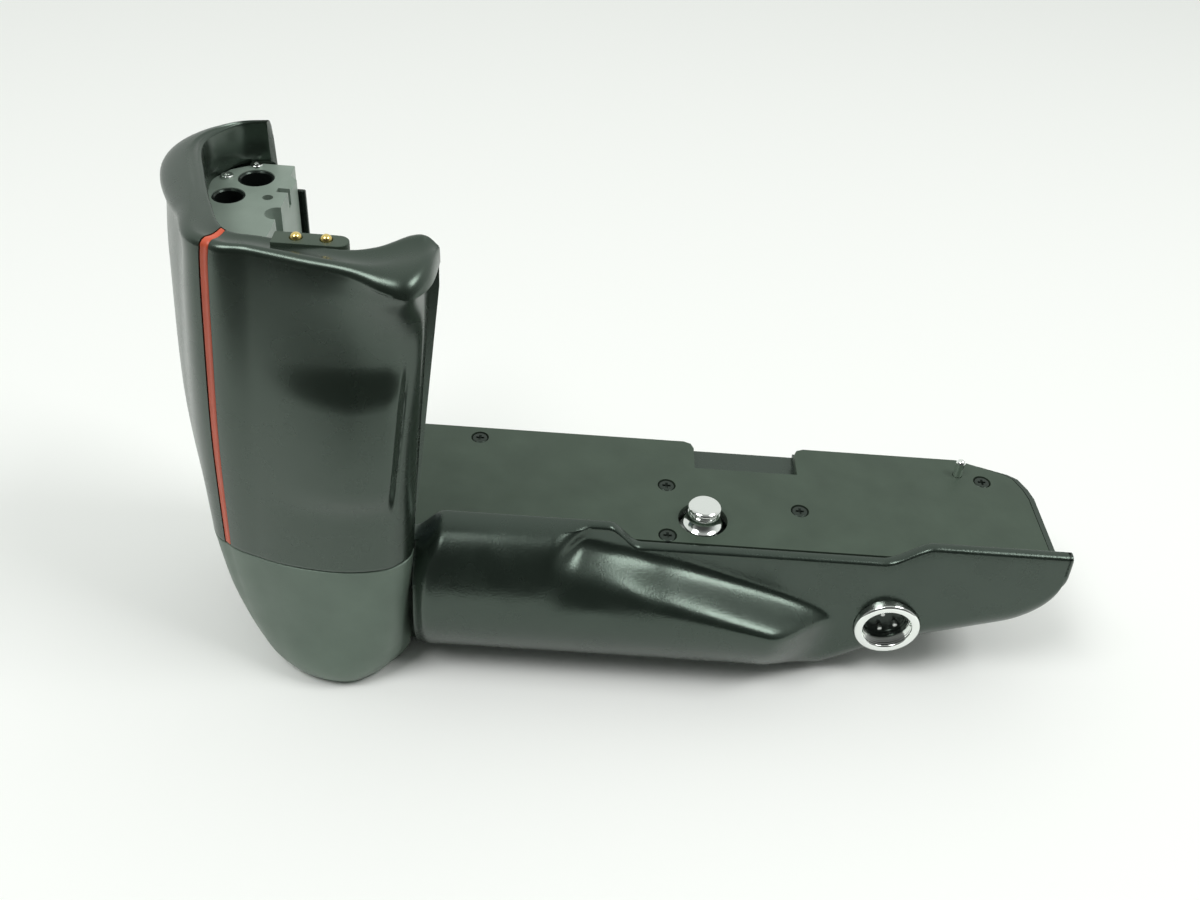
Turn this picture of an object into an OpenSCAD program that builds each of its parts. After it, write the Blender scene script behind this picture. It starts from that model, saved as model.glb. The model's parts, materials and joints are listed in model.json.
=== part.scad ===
// Camera battery grip: a base that bolts under a camera and a hand-grip tower that wraps one end of it.
// The origin is the attaching screw's axis at the camera seat: +X along the base, +Y to the rear, +Z up.

/* [Base] */
// Height of the base from the surface it stands on to the camera seat
base_depth = 29; // [27:0.5:34]
// Distance from the screw axis to the right end wall
base_right = 68.3; // [64:0.1:76]
// Distance from the screw axis to the rear wall
base_rear = 23.6; // [22.5:0.1:26.5]
// Distance from the screw axis back to the inner face of the front lip
lip_inset = 6.9; // [6.5:0.1:7.9]
// Thickness of the front lip
lip_t = 2; // [1.6:0.1:3]
// Height of the raised lip ends above the seat
lip_h = 4.6; // [3:0.1:6]
// Radius of the rounded hand swell on the front
swell_r = 15.9; // [14:0.1:17]
// Forward lean of the front wall for each millimetre of height
wall_draft = 0.13; // [0.05:0.01:0.2]
// Radius along the lower front edge beside the swell
front_edge_r = 6; // [4:0.1:8]
// Radius along the lower rear edge
rear_edge_r = 4; // [2:0.1:6]
// Depth of the right end's lower edge below the seat
end_depth = 5.8; // [5.4:0.1:7]
// Length by which the front wall reaches past the right end wall
wing_l = 0.8; // [0.5:0.1:1.5]

/* [Seat plate] */
// Thickness of the seat plate
plate_t = 1.5; // [1:0.1:2]
// Width of the body rim that shows beside the plate at the right end
plate_rim = 1.2; // [0.6:0.1:2]
// Left end of the rear notch
notch_x = -1.1; // [-3:0.1:1]
// Width of the rear notch
notch_w = 20.9; // [14:0.1:24]
// Depth of the rear notch from the rear edge
notch_l = 8.3; // [5:0.1:9]
// Radius of the hole that the attaching screw stands in
screw_hole_r = 4.8; // [4.6:0.1:5.6]
// Head radius of the plate screws
screw_head_r = 1.6; // [1.3:0.05:1.8]
// Head height of the plate screws
screw_head_h = 0.7; // [0.5:0.05:0.9]
// Shank radius of the plate screws
screw_shank_r = 0.8; // [0.6:0.05:1]
// Shank length of the plate screws below the plate
screw_shank_l = 2.6; // [2:0.1:3.2]

/* [Attaching screw] */
// Radius of the screw, a quarter-inch camera thread
screw_r = 3.175; // [3:0.025:3.2]
// Height of the screw above the seat
screw_top = 3.8; // [3.4:0.1:5]
// Radius of the skirt at the foot of the screw
skirt_r = 3.85; // [3.6:0.05:4.4]
// Radius of the shaft below the skirt
shaft_r = 3; // [2.5:0.05:3.1]
// Radius of the guide bush around the shaft
guide_r = 5; // [4.5:0.1:5.4]
// Radius of the knob under the base
knob_r = 8; // [7:0.1:8.2]
// Height of the knob
knob_h = 3.2; // [2.6:0.1:3.6]
// Number of grip notches round the knob
knob_notches = 24; // [16:1:32]

/* [Locating pin and sockets] */
// Radius of the locating pin
pin_r = 0.95; // [0.8:0.05:1.5]
// Height of the locating pin above the seat
pin_top = 4; // [3:0.1:5]
// Radius of the tripod thread
tripod_r = 3.175; // [3.175, 4.76]
// Depth of the tripod thread
tripod_l = 5.5; // [4.5:0.1:7]
// Outer radius of the terminal ring
ring_r = 6.35; // [6:0.05:6.6]
// Radius of the terminal's socket
socket_r = 4.7; // [4.4:0.05:4.9]
// Depth of the terminal's socket
socket_l = 2; // [1.8:0.1:2.4]
// Length by which the terminal ring stands out of its seat
ring_out = 1.9; // [1.6:0.1:2.4]
// Radius of the plug in the right end wall
plug_r = 1.6; // [1.4:0.1:1.7]

/* [Tower] */
// Height of the tower above the seat
tower_h = 65; // [60:0.5:72]
// Height of the seam between the grip shell and the foot
seam_z = 1; // [0.5:0.1:2]
// Width of the inlaid stripe
stripe_w = 1.9; // [1.4:0.1:2.2]
// Depth of the inlaid stripe
stripe_t = 0.6; // [0.4:0.05:0.8]
// Swell of the palm pillow on the front
pillow_h = 1.3; // [0.8:0.1:1.8]
// Depth of the battery frame's top face below the tower's top
frame_drop = 7.5; // [6.5:0.1:8.5]
// Thickness of the stop plate behind the camera
stop_t = 0.9; // [0.6:0.1:1.2]
// Radius of the spring contacts
contact_r = 0.9; // [0.7:0.05:1]
// Distance between the spring contacts
contact_pitch = 4.5; // [4:0.1:5]
// Travel of the spring contacts
contact_travel = 0.6; // [0.4:0.05:0.7]

/* [Batteries] */
// Radius of a cell
cell_r = 7.25; // [7:0.05:7.3]
// Length of a cell
cell_l = 50.5; // [49:0.1:50.6]
// Length of the bay's end walls and contacts beside the lying cells, up to the attaching screw
cell_room = 3.5; // [3.2:0.1:5]
// Clearance round a cell
cell_gap = 0.2; // [0.15:0.05:0.3]
// Thickness of the battery door
door_t = 1.8; // [1.4:0.1:2.2]
// Radius of the door's hinge barrel
barrel_r = 1.3; // [1.2:0.05:1.6]
// Radius of the hinge pin
hinge_r = 0.7; // [0.6:0.05:0.8]
// Travel of the door latch
latch_travel = 2; // [1.5:0.1:2.5]

/* [Vertical release] */
// Radius of the release button
button_r = 4.2; // [3.6:0.1:4.6]
// Wall of the bezel round the button
bezel_t = 0.9; // [0.7:0.1:1.2]
// Width of the locking collar's ring
collar_w = 2.7; // [2:0.1:3]
// Travel of the release button
button_travel = 1.2; // [0.8:0.1:1.5]
// Tilt of the release below the horizontal
release_tilt = 29.8; // [26:0.1:34]

/* [Fits] */
// Radial clearance of shafts and buttons
run_gap = 0.05; // [0.03:0.01:0.1]
// Clearance between moving pieces
clear_gap = 0.3; // [0.25:0.05:0.4]

/* [Hidden] */
$fn = 48;
// Step used where one cut runs past a face
past = 0.5;

// Blends and curves
function clamp(t) = max(0, min(1, t));
function mix(a, b, t) = a + (b - a) * t;
function ease(a, b, v) = let (t = clamp((v - a) / (b - a))) t * t * (3 - 2 * t);
function cubic(a, b, c, d, t) =
  0.5 * (2 * b + (c - a) * t + (2 * a - 5 * b + 4 * c - d) * t * t + (3 * b - a - 3 * c + d) * t * t * t);
// Point on a smooth curve through the points p, at a place counted in points from the first
function along(p, place) =
  let (n = len(p) - 1, k = max(0, min(n - 1, floor(place))))
  cubic(p[max(0, k - 1)], p[k], p[k + 1], p[min(n, k + 2)], place - k);
function flat(lists) = [for (l = lists) for (e = l) e];
// Triangles of a grid of rows, each row holding count points
function grid(rows, count, first = 0, flip = false) = flat([
  for (r = [0:rows - 2], c = [0:count - 2])
    let (a = first + r * count + c, b = a + 1, d = a + count, e = d + 1)
      flip ? [[a, b, e], [a, e, d]] : [[a, e, b], [a, d, e]]
]);

// Base: heights and plan
// Left end of the base, where the tower starts
base_left = -cell_l - cell_room;
seat_z = -plate_t;
body_bottom = 0.3 - base_depth;
// Slanted underside towards the right end: where it starts, its soft start and the rounded end
ramp_x = 26;
ramp_soft = [22, 46];
ramp_rise = 3.8;
end_r = 9;
end_rise = 6;
ramp_slope = (-end_depth - body_bottom - ramp_rise - end_rise) / (base_right - ramp_x);
lip_front = -lip_inset - lip_t;
swell_y = -3.4;
crown_edge = -lip_inset - 1;
// Shelf above the swell: heights of its inner and outer edge at the screw and their fall along the base
shelf_inner = [-3.3, 0.33];
shelf_outer = [-8, 0.22];
// Crown: where it ends at the seat's height, its lean with height and the length of its fade
crown_end = -27;
crown_lean = 0.8;
crown_fade = 6;
tongue_left = base_left - 19.4;
tongue_step = base_left - 5.6;
tongue_rear = base_rear - 2.5;
tongue_front = -13.3;
bay_left = base_left - 5;
function lip_top(x) =
  lip_h * (1 - ease(-18.3, -12, x) + ease(34, 43, x))
  * mix(0.1, 1, ease(base_left - 0.5, base_left + 5.3, x));
function end_turn(x, r) = let (t = clamp((x - base_right + r) / r)) 1 - sqrt(1 - t * t);
function floor_z(x) =
  body_bottom + ramp_slope * max(0, x - ramp_x) + ramp_rise * ease(ramp_soft[0], ramp_soft[1], x)
  + end_rise * end_turn(x, end_r);
function rear_y(x) =
  let (chamfer = 0.36 * max(0, min(10, x - base_right + 14.3)), turn = 12.5 * end_turn(x, 4.3))
  base_rear - chamfer - turn;
function end_share(x) = mix(0.82, 1, ease(base_left, base_left + 3, x));
function swell_share(x) = (1 - ease(11, 29, x)) * end_share(x);
// Share of the crown, where the swell runs up to the raised left part of the lip
function crown_share(x, z) = let (from = crown_end + crown_lean * z) 1 - ease(from, from + crown_fade, x);
function shelf_in(x) = min(lip_top(x) - 1.2, max(floor_z(x) + 9, shelf_inner[0] - shelf_inner[1] * x));
function shelf_out(x) = min(shelf_in(x) - 2.5, max(floor_z(x) + 6, shelf_outer[0] - shelf_outer[1] * x));

// Front of the base at one height: the leaning wall, or the swell where it stands out
function wall_y(z, low, r, top) =
  let (t = clamp((low + r - z) / r)) lip_front + wall_draft * (z - top) + r * (1 - sqrt(1 - t * t));
function swell_front(z, low) = swell_y - sqrt(max(0, swell_r * swell_r - pow(z - low - swell_r, 2)));
function crown_front(z, low, top) =
  let (h = max(0, z - low - swell_r) / (top - low - swell_r), reach = swell_r - swell_y + crown_edge)
  h > 0 ? crown_edge - reach * sqrt(max(0, 1 - h * h)) : swell_front(z, low);
function front_y(x, z, low, r) =
  let (wall = wall_y(z, low, r, lip_top(x)), share = swell_share(x) * ease(shelf_in(x), shelf_out(x), z))
  let (shelf = mix(wall, min(wall, swell_front(z, low)), share))
  let (crown = mix(wall, min(wall, crown_front(z, low, lip_top(x))), end_share(x)))
  mix(shelf, crown, crown_share(x, z));
function front_heights(top, low, x) =
  let (edge = top - 0.7, a = min(edge - 0.4, max(low + 2, shelf_in(x))))
  let (b = min(a - 0.4, max(low + 1, shelf_out(x))))
  concat([edge, mix(edge, a, 0.5), a], [for (k = [1:5]) mix(a, b, k / 5)],
    [for (k = [1:8]) low + (b - low) * (1 - sin(90 * k / 8))]);
function lip_points(top, foot) = [
  [-lip_inset, foot], [-lip_inset, top - 0.5], [-lip_inset - 0.3, top - 0.1], [-lip_inset - 0.8, top],
  [lip_front + 0.4, top - 0.15]
];
function body_section(x) =
  let (low = floor_z(x), rear = rear_y(x), r = rear_edge_r)
  concat(lip_points(lip_top(x), seat_z),
    [for (z = front_heights(lip_top(x), low, x)) [front_y(x, z, low, front_edge_r), z]],
    [for (k = [0:4]) [rear - r + r * sin(90 * k / 4), low + r - r * cos(90 * k / 4)]],
    [[rear, mix(low + r, seat_z, 0.5)], [rear, seat_z]]);
// Wing: the front wall's end past the right end wall, rounded back and cut off aslant below
wing_t = 0.3;
wing_edge_r = 0.9;
function wing_front(z, low, t) =
  let (e = clamp((low + wing_edge_r - z) / wing_edge_r))
  let (turn = 1 - sqrt(1 - t * t) + 0.4 * (1 - sqrt(1 - e * e)))
  min(-lip_inset - wing_t, front_y(base_right, z, floor_z(base_right), front_edge_r) + turn);
function wing_section(x) =
  let (t = (x - base_right) / wing_l, low = mix(floor_z(base_right) + 0.2, 0.5, t))
  let (top = lip_top(x) - ease(0.4, 1, t), foot = mix(low, top, 0.6))
  concat(lip_points(top, foot), [for (z = front_heights(top, low, x)) [wing_front(z, low, t), z]],
    [for (k = [0:6]) [-lip_inset, mix(low, foot, k / 7)]]);
body_stations = concat(
  [for (d = [-5, 0.6, 1.6, 3, 6, 9]) base_left + d],
  [-34, -30, -27, -24.5, -22, -20, -18, -16, -14, -12, -8, -4, 0, 4, 8, 12, 15, 18, 21, 24, 27, 30],
  [33, 37, 41, 45, 49],
  [for (d = [-14.3, -10, -7, -4.3, -2.4, -1, -0.3, 0]) base_right + d]);
wing_stations = [for (t = [0.04, 0.4, 0.75, 1]) base_right + t * wing_l];

// Index of a section's lowest front point, from which its whole end can be seen
section_apex = 20;

// Places on the seat
plate_right = base_right - plate_rim;
plate_front = -lip_inset + 0.15;
body_screw_places = [
  [base_left + 8.8, base_rear - 3.2], [-6.9, 9.4], [-6.9, -5], [19.3, 4.4],
  [base_right - 10.2, base_rear - 6.5]
];
foot_screw_places = [[base_left - 10, 18.5], [base_left - 10, -9.5]];
plate_screw_places = concat(body_screw_places, foot_screw_places);
screw_sink = 0.1;
ledge_z = seat_z - 0.9;
pin_place = [base_right - 15, base_rear - 4.8];
pin_step = 0.3;
pin_root = 3.8;
tripod_place = [13, 11.5];
bush_t = 2;
bottom_screw_rear = base_rear - 6.8;
bottom_screw_places = [
  [base_left + 6, 2.5], [base_left + 6, bottom_screw_rear], [-13, bottom_screw_rear], [-13, -1.5]
];

// Attaching screw stack
skirt_top = 0.6;
skirt_foot = -0.8;
screw_chamfer = 0.45;
// Groove round the screw: its foot below the top, height and depth
screw_groove = [1.7, 0.8, 0.55];
clip_t = 0.6;
guide_top = seat_z - 2;
knob_rise = 1.2;
knob_low = knob_rise - base_depth;
knob_floor = 0.4;
knob_room = 0.8;
well_top = knob_low + knob_h + 0.6;

// Bottom plate
bottom_t = 1.6;
bottom_left = base_left + 2;
bottom_right = 22;
bottom_front = -4.5;
bottom_rear = base_rear - rear_edge_r - 0.6;

// Terminal
terminal_x = 37.2;
terminal_z = 0.5 * (floor_z(terminal_x) + seat_z) - 2.7;
// Angles of the terminal's pins about its axis
terminal_pin_turns = [115, 250, 340];
ring_seat = -10.1;
ring_face = ring_seat - ring_out;
socket_floor = ring_face + socket_l;
barrel_end = -3.5;
barrel_out = ring_r - 1.1;
insulator_r = socket_r - 0.4;
insulator_face = socket_floor + 1.2;
terminal_pin_l = 1.1;

// Board and plug at the right
board_z = terminal_z + barrel_out - 0.7;
board_low = [24, 0.5, board_z];
board_high = [60, base_rear - 9, board_z + 1.6];
plug_place = [base_right - 2.5, -4.5, plug_r + 0.5 - end_depth];
plug_l = 2.5;

// Battery bay in the base
bay_end = bay_left + 1.4 + cell_l + 1.2;
bay_h = 2 * (cell_r + cell_gap);
base_cell_z = well_top + 1.2 + cell_r + cell_gap;
bay_low = base_cell_z - 0.5 * bay_h;
base_cell_y = [for (k = [0, 1]) base_rear - door_t - 0.5 - cell_r - k * (2 * cell_r + cell_gap)];
bay_front = base_cell_y[1] - cell_r - cell_gap;
door_left = bay_left + 1.4;
door_right = bay_end;
hinge_y = base_rear - barrel_r;
hinge_z = bay_low - 0.4;
door_top = bay_low + bay_h;
hinge_end = 1.2;
latch_w = 9;
tongue_w = 7;
tongue_t = 0.9;
latch_h = 4;
latch_x = 0.5 * (door_left + door_right);
latch_top = door_top - clear_gap - 0.2;
pad_top = latch_top - latch_travel - 0.6;

// Tower: plan curves through matching points at several heights, measured from the base's left end.
// Each runs from the rear wall's end, round the outside, to the front wall's end.
tower_seam = [
  [-26, 23.7], [-34.5, 23.1], [-39.3, 18.5], [-41.2, 11], [-41, 2], [-38.4, -7.5], [-33.1, -16.1],
  [-26, -19.5], [-19, -21.2], [-11, -21.7], [-4.5, -20.5], [-1.4, -18.5], [0, -16.5], [0.3, -14.1]
];
tower_waist = [
  [-26.8, 23.9], [-34.4, 23.1], [-40, 18.5], [-43.2, 11.5], [-42.8, 2.9], [-39.1, -7.3], [-31.9, -16.9],
  [-24.4, -19.9], [-17, -21.7], [-9.2, -22.2], [-2.8, -20.9], [0.1, -18.9], [1.5, -16.5], [1.9, -14.1]
];
tower_neck = [
  [-27.5, 23.9], [-34, 22.9], [-39.6, 18.5], [-43, 12.1], [-42, 3.9], [-37, -7.1], [-29.7, -17.7],
  [-22.5, -19.7], [-14.6, -21.4], [-7, -21.8], [-1.3, -20.3], [1.7, -18.5], [3.5, -16.7], [3.9, -14.1]
];
tower_horn = [
  [-27.8, 23.9], [-33.6, 22.8], [-38.9, 18.4], [-41.9, 12.3], [-40.9, 4.3], [-35.4, -7.1], [-28.5, -18.1],
  [-21.4, -19.7], [-13.3, -21.7], [-6.5, -22.9], [-1, -24.1], [2.7, -23.8], [4.5, -20.1], [4.9, -14.3]
];
tower_top = [
  [-28, 24.1], [-33.7, 23.1], [-39.6, 18.9], [-42.7, 12.5], [-41.6, 4.5], [-35.8, -7], [-28, -18.2],
  [-21.2, -19.6], [-13, -21.6], [-6.3, -23.1], [-1, -25.1], [3.2, -25.5], [5.8, -21.5], [6.3, -14.5]
];
inner_seam = [
  [-26, 21.9], [-33.4, 21.3], [-37.6, 17.2], [-39.4, 10.8], [-39.1, 2.5], [-36.4, -6.5], [-31.4, -13.9],
  [-25.6, -14.9], [-19, -15.7], [-11, -16.3], [-4.5, -16.1], [-1.8, -15.1], [-0.6, -14.3], [0.1, -13.9]
];
inner_neck = [
  [-27.5, 22.1], [-33, 21.1], [-38, 17.1], [-41.1, 11.5], [-40, 3.5], [-34.8, -5.9], [-27.7, -15.1],
  [-21.4, -15.5], [-14.6, -16.1], [-7.2, -16.9], [-1.8, -16.3], [1, -14.7], [2.8, -14.1], [3.6, -13.9]
];
inner_rim = [
  [-28.4, 22.6], [-32.6, 20.9], [-35.9, 16.1], [-36.2, 11.1], [-33.9, 3.9], [-30.4, -5.5], [-26, -13.9],
  [-19.6, -15.5], [-13, -16.5], [-7.3, -17.7], [-2.5, -16.9], [1.9, -14.3], [4.2, -13.9], [6, -14.1]
];
neck_z = tower_h - 16;
waist_z = 0.5 * (seam_z + neck_z);
horn_z = tower_h - 4.5;
rim_z = tower_h - frame_drop + 0.1;
top_edge = 1.2;
// Fall of the outer top edge and rise of the inner one, towards the horn
outer_fall = [0, 0, 0, 0, 0, 0, 0, 0, 0, 0, -0.3, -0.7, -0.6, -0.6];
inner_rise = [0, 0, 0, 0, 0, 0, 0, 0, 0, 0.1, 0.6, 1.4, 1.3, -0.4];
stripe_place = 6;
stripe_left = 0.5 * stripe_w / 13;
stripe_right = 0.5 * stripe_w / 6.5;
stripe_slope = 0.004;
function shift(p, z) = [p[0] + base_left, p[1], z];
function outer_levels(k) = [shift(tower_seam[k], seam_z), shift(tower_waist[k], waist_z),
  shift(tower_neck[k], neck_z), shift(tower_horn[k], horn_z), shift(tower_top[k], tower_h - top_edge)];
function inner_levels(k) = [shift(inner_seam[k], seam_z),
  shift(mix(inner_seam[k], inner_neck[k], 0.5), waist_z), shift(inner_neck[k], neck_z)];
function pillow_end(z) = mix(10.3, 10.75, clamp((z - 18) / 26));
function pillow(place, z) =
  let (side = ease(7, 9.4, place) * (1 - ease(pillow_end(z) - 0.25, pillow_end(z) + 0.2, place)))
  pillow_h * side * ease(14, 21, z) * (1 - ease(39, 46, z));
function outer_at(place, level) =
  let (p = along([for (k = [0:13]) along(outer_levels(k), level)], place)) p - [0, pillow(place, p[2]), 0];
function inner_at(place, level) = along([for (k = [0:13]) along(inner_levels(k), level)], place);
function rim_at(place) = along([for (k = [0:13]) shift(inner_rim[k], 0)], place);
// One upright slice through the wall: outer points from the seam up, then as many inner ones
shell_levels = concat([for (k = [0:11]) k / 4], [3, 3.35, 3.7, 4]);
// Height and width of the rounded top edge, which grows towards the horn and round the outer end
function edge_h(place) = top_edge + 1.2 * ease(8.5, 11, place) + 1.8 * (1 - ease(4.4, 5.8, place));
function edge_w(place) = 0.28 + 0.22 * ease(8.5, 11, place) + 0.4 * (1 - ease(4.4, 5.8, place));
function outer_column(place) =
  let (edge = outer_at(place, 4), rim = rim_at(place), fall = along(outer_fall, place), w = edge_w(place))
  let (low = tower_h + fall - edge_h(place), high = tower_h + mix(fall, along(inner_rise, place), w))
  concat([for (l = shell_levels) outer_at(place, l) + [0, 0, (low - edge[2]) * ease(3, 4, l)]],
    [for (a = [35, 65, 90]) let (t = w * (1 - cos(a)))
      [mix(edge[0], rim[0], t), mix(edge[1], rim[1], t), mix(low, high, sin(a))]]);
function inner_column(place) =
  let (rim = rim_at(place), top = tower_h + along(inner_rise, place), under = inner_at(place, 2))
  concat([for (k = [0:9]) inner_at(place, k / 4.5)],
    [for (z = [mix(neck_z, rim_z, 0.5), rim_z - 0.08]) [under[0], under[1], z]],
    [for (z = [rim_z, mix(rim_z, top, 0.4), mix(rim_z, top, 0.8), top - 0.6, top - 0.15])
      [rim[0], rim[1], z]],
    [for (t = [0.05, 0.12]) let (edge = outer_at(place, 4))
      [mix(rim[0], edge[0], t), mix(rim[1], edge[1], t), top]]);
function in_stripe(place) =
  place > stripe_place - stripe_left - 0.0001 && place < stripe_place + stripe_right + 0.0001;
// Points sunk by the stripe's depth, into the corner below the edge and down on the top
function sunk(column, depth) = [for (k = [0:len(column) - 1])
  column[k] + depth * (k < len(shell_levels) ? [0.5, 0.85, 0] : [0, 0, -1])];
shell_places = concat([for (k = [0:23]) k / 4],
  [stripe_place - stripe_left - stripe_slope, stripe_place - stripe_left, stripe_place + stripe_right,
    stripe_place + stripe_right + stripe_slope],
  [for (k = [25:40]) k / 4], [10.15, 10.35, 10.55], [for (k = [43:52]) k / 4]);

// Foot: closed plans from the seam down, with the same points as the tower's outside
foot_mid = [
  [-26, 23.6], [-33.5, 22.5], [-37.4, 18], [-39.1, 10.8], [-38.9, 2], [-36.7, -7.5], [-31.4, -16.4],
  [-25, -20.1], [-18.5, -22.1], [-11, -22.7], [-4.6, -21.3], [-1.8, -18.5], [-1.1, -16.1], [-0.9, -14.1]
];
foot_low = [
  [-24, 22.9], [-29.4, 21.5], [-32.8, 17.1], [-34.3, 10.5], [-34.1, 2], [-32.5, -7], [-28.6, -16.5],
  [-23, -21.3], [-17, -23.5], [-11.3, -23.7], [-6, -21.1], [-3.2, -17.9], [-2, -15.7], [-1.2, -14.1]
];
foot_sole = [
  [-22, 20.9], [-26, 19.3], [-28.6, 15.7], [-29.6, 10], [-29.5, 2], [-28.4, -6.9], [-25.4, -15.3],
  [-21.3, -19.7], [-16.4, -21.5], [-11.4, -21.5], [-7.6, -19.1], [-5.8, -16.7], [-4.4, -15.3], [-3.4, -14.1]
];
foot_gap = 0.4;
foot_gap_y = -11.4;
// Index of the foot's inner corner, from which each of its rings can be seen
foot_apex = 42;
function foot_levels(k) = [shift(tower_seam[k], seam_z), shift(foot_mid[k], -0.45 * base_depth),
  shift(foot_low[k], -0.83 * base_depth), shift(foot_sole[k], -base_depth)];
function foot_curve(level, k) = along([for (i = [0:13]) along(foot_levels(i), level)], k / 3);
function foot_end(level, inset) =
  let (p = along(foot_levels(0), level), side = along(foot_levels(13), level)[0] - base_left)
  let (near = min(-1, side) - inset, x = -5 - foot_gap - inset, y = foot_gap_y - inset)
  [for (q = [[near, foot_gap_y - 1.5], [near, y], [x, y], [x, p[1] - inset]]) shift(q, min(p[2], seat_z))];
function foot_ring(level) = concat([for (k = [0:39]) foot_curve(level, k)], foot_end(level, 0));
// Rim that the tower stands on, with the seat for the plate's tongue inside it
function rim_ring(z) = concat([for (k = [0:39]) shift(along(inner_seam, k / 3), z)], foot_end(0, 0.3));
foot_rows = [0, 0.4, 0.8, 1.2, 1.6, 1.9, 2.2, 2.5, 2.75, 3];

// Battery frame in the tower
frame_z = tower_h - frame_drop;
tower_cell_z = 19 - base_depth;
contact_t = 0.6;
cell_top = tower_cell_z + cell_l + 1.2;
frame_low = tower_cell_z - 2;
frame_step = cell_top + 1.4;
tower_cell_x = base_left - 27.2;
tower_cell_y = [14.4, 14.1 - 2 * cell_r];
frame_plan = [
  [-24, 20.9], [-30, 20.9], [-34.6, 18.5], [-37.8, 14], [-38.2, 7.5], [-37, 0.7],
  [-33.7, -6.1], [-29.2, -12.3], [-24, -12.3]
];
frame_top_plan = [
  [-24, 21.5], [-30, 21.5], [-34.4, 18.5], [-37.2, 13.5], [-37, 7.1], [-34.8, 0.9],
  [-31, -6.1], [-26.6, -12.9], [-23, -12.9], [-23, 18], [-24, 18]
];
bush_places = [[-32.4, 9.3, 2.8], [-29.4, 16.1, 3.1]];
bush_wall = 0.5;
bush_l = 6.8;
frame_screw_places = [[-34.3, 15.8], [-30.4, 20.4]];
frame_screw_l = 3;
frame_head_r = 1.1;
frame_head_h = 0.5;
frame_shank_r = 0.6;
stop_y = 19.1;
// Small hole, half-round notch and slot along the camera side of the frame's top
frame_hole = [-25.9, 9.6, 0.9];
frame_notch = [-23.2, 4.5, 2];
frame_slot = [-25, 11.7];

// Contact block on the front wall's inner edge
block_x = base_left - 12.6;
block_w = 11.4;
block_corner = 1.6;
block_rear = -14.4;
block_front = -17.7;
block_low = tower_h - 14;
block_top = tower_h + 0.3;
contact_y = -15.8;
contact_up = 0.8;
contact_l = 3;

// Vertical release on the slanted end of the foot
release_place = [base_left - 35.6, 3.5, frame_low - 8];
bezel_r = button_r + run_gap + bezel_t;
collar_in = bezel_r + run_gap;
collar_out = collar_in + collar_w;
release_seat = -1.4;
collar_h = 2;
bezel_low = -7.3;
button_low = -3.6;
button_top = 0.9;
switch_r = 3;
switch_low = -9.4;
switch_top = -6;

// Colours
shell_black = [0.10, 0.11, 0.105];
plate_black = [0.13, 0.14, 0.135];
steel = [0.75, 0.76, 0.78];
gold = [0.85, 0.68, 0.25];

// Closed solid through equal sections, its ends filled from one point of the section
module loft(sections, apex) {
  count = len(sections[0]);
  rows = len(sections);
  far = (rows - 1) * count;
  sides = [for (r = [0:rows - 2], c = [0:count - 1])
    let (a = r * count + c, b = r * count + (c + 1) % count, d = a + count, e = b + count)
    each [[a, e, b], [a, d, e]]];
  turn = [for (k = [1:count - 2]) [(apex + k) % count, (apex + k + 1) % count]];
  first = [for (t = turn) [apex, t[0], t[1]]];
  last = [for (t = turn) [far + apex, far + t[1], far + t[0]]];
  polyhedron(flat(sections), concat(sides, first, last), convexity = 8);
}

// Tube along an axis: outer and inner radius from z0 to z1
module ring(r_out, r_in, z0, z1) {
  difference() {
    translate([0, 0, z0]) cylinder(r = r_out, h = z1 - z0);
    translate([0, 0, z0 - past]) cylinder(r = r_in, h = z1 - z0 + 2 * past);
  }
}

module slab(plan, z0, z1) {
  translate([base_left, 0, z0]) linear_extrude(z1 - z0) polygon(plan);
}

module box(low, high) {
  translate(low) cube(high - low);
}

// Turns a piece drawn along +Z to point out of the front of the base
module out_front(x, z) {
  translate([x, 0, z]) rotate([90, 0, 0]) children();
}

module at_release() {
  translate(release_place) rotate([0, -90 - release_tilt, 0]) children();
}

module base_body() {
  color(shell_black) difference() {
    union() {
      loft([for (x = concat(body_stations, wing_stations))
        [for (p = x <= base_right ? body_section(x) : wing_section(x)) [x, p[0], p[1]]]], section_apex);
      translate([0, 0, seat_z - 0.4]) linear_extrude(plate_t + 0.4) rim_outline();
    }
    box([bay_left - 1, -40, -40], [base_left + 0.3, foot_gap_y + foot_gap, 20]);
    screw_wells();
    battery_bay();
    terminal_well();
    box([notch_x, base_rear - notch_l, ledge_z], [notch_x + notch_w, base_rear + 1, 1]);
    box(board_low, [board_high[0], board_high[1], 2]);
    translate(plug_place) rotate([0, 90, 0]) cylinder(r = plug_r + 0.01, h = 2 * plug_l);
    translate([pin_place[0], pin_place[1], seat_z - pin_root]) cylinder(r = pin_r + pin_step, h = 8);
  }
}

// Holes of the plates' screws, the attaching screw's well and the tripod bush's hole
module screw_wells() {
  for (p = body_screw_places) {
    translate([p[0], p[1], seat_z - screw_shank_l - 0.4]) cylinder(r = screw_shank_r + 0.02, h = 6);
  }
  for (p = bottom_screw_places) {
    translate([p[0], p[1], -base_depth]) cylinder(r = screw_shank_r + 0.02, h = bottom_t + screw_shank_l);
  }
  translate([0, 0, -base_depth - 1]) cylinder(r = knob_r + knob_room, h = well_top + base_depth + 1);
  translate([0, 0, -base_depth]) cylinder(r = guide_r, h = base_depth + 10);
  box([bottom_left, bottom_front, -base_depth - 1], [bottom_right, bottom_rear, bottom_t - base_depth]);
  translate([tripod_place[0], tripod_place[1], -base_depth])
    cylinder(r = tripod_r + bush_t, h = tripod_l + 1.5);
}

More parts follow.
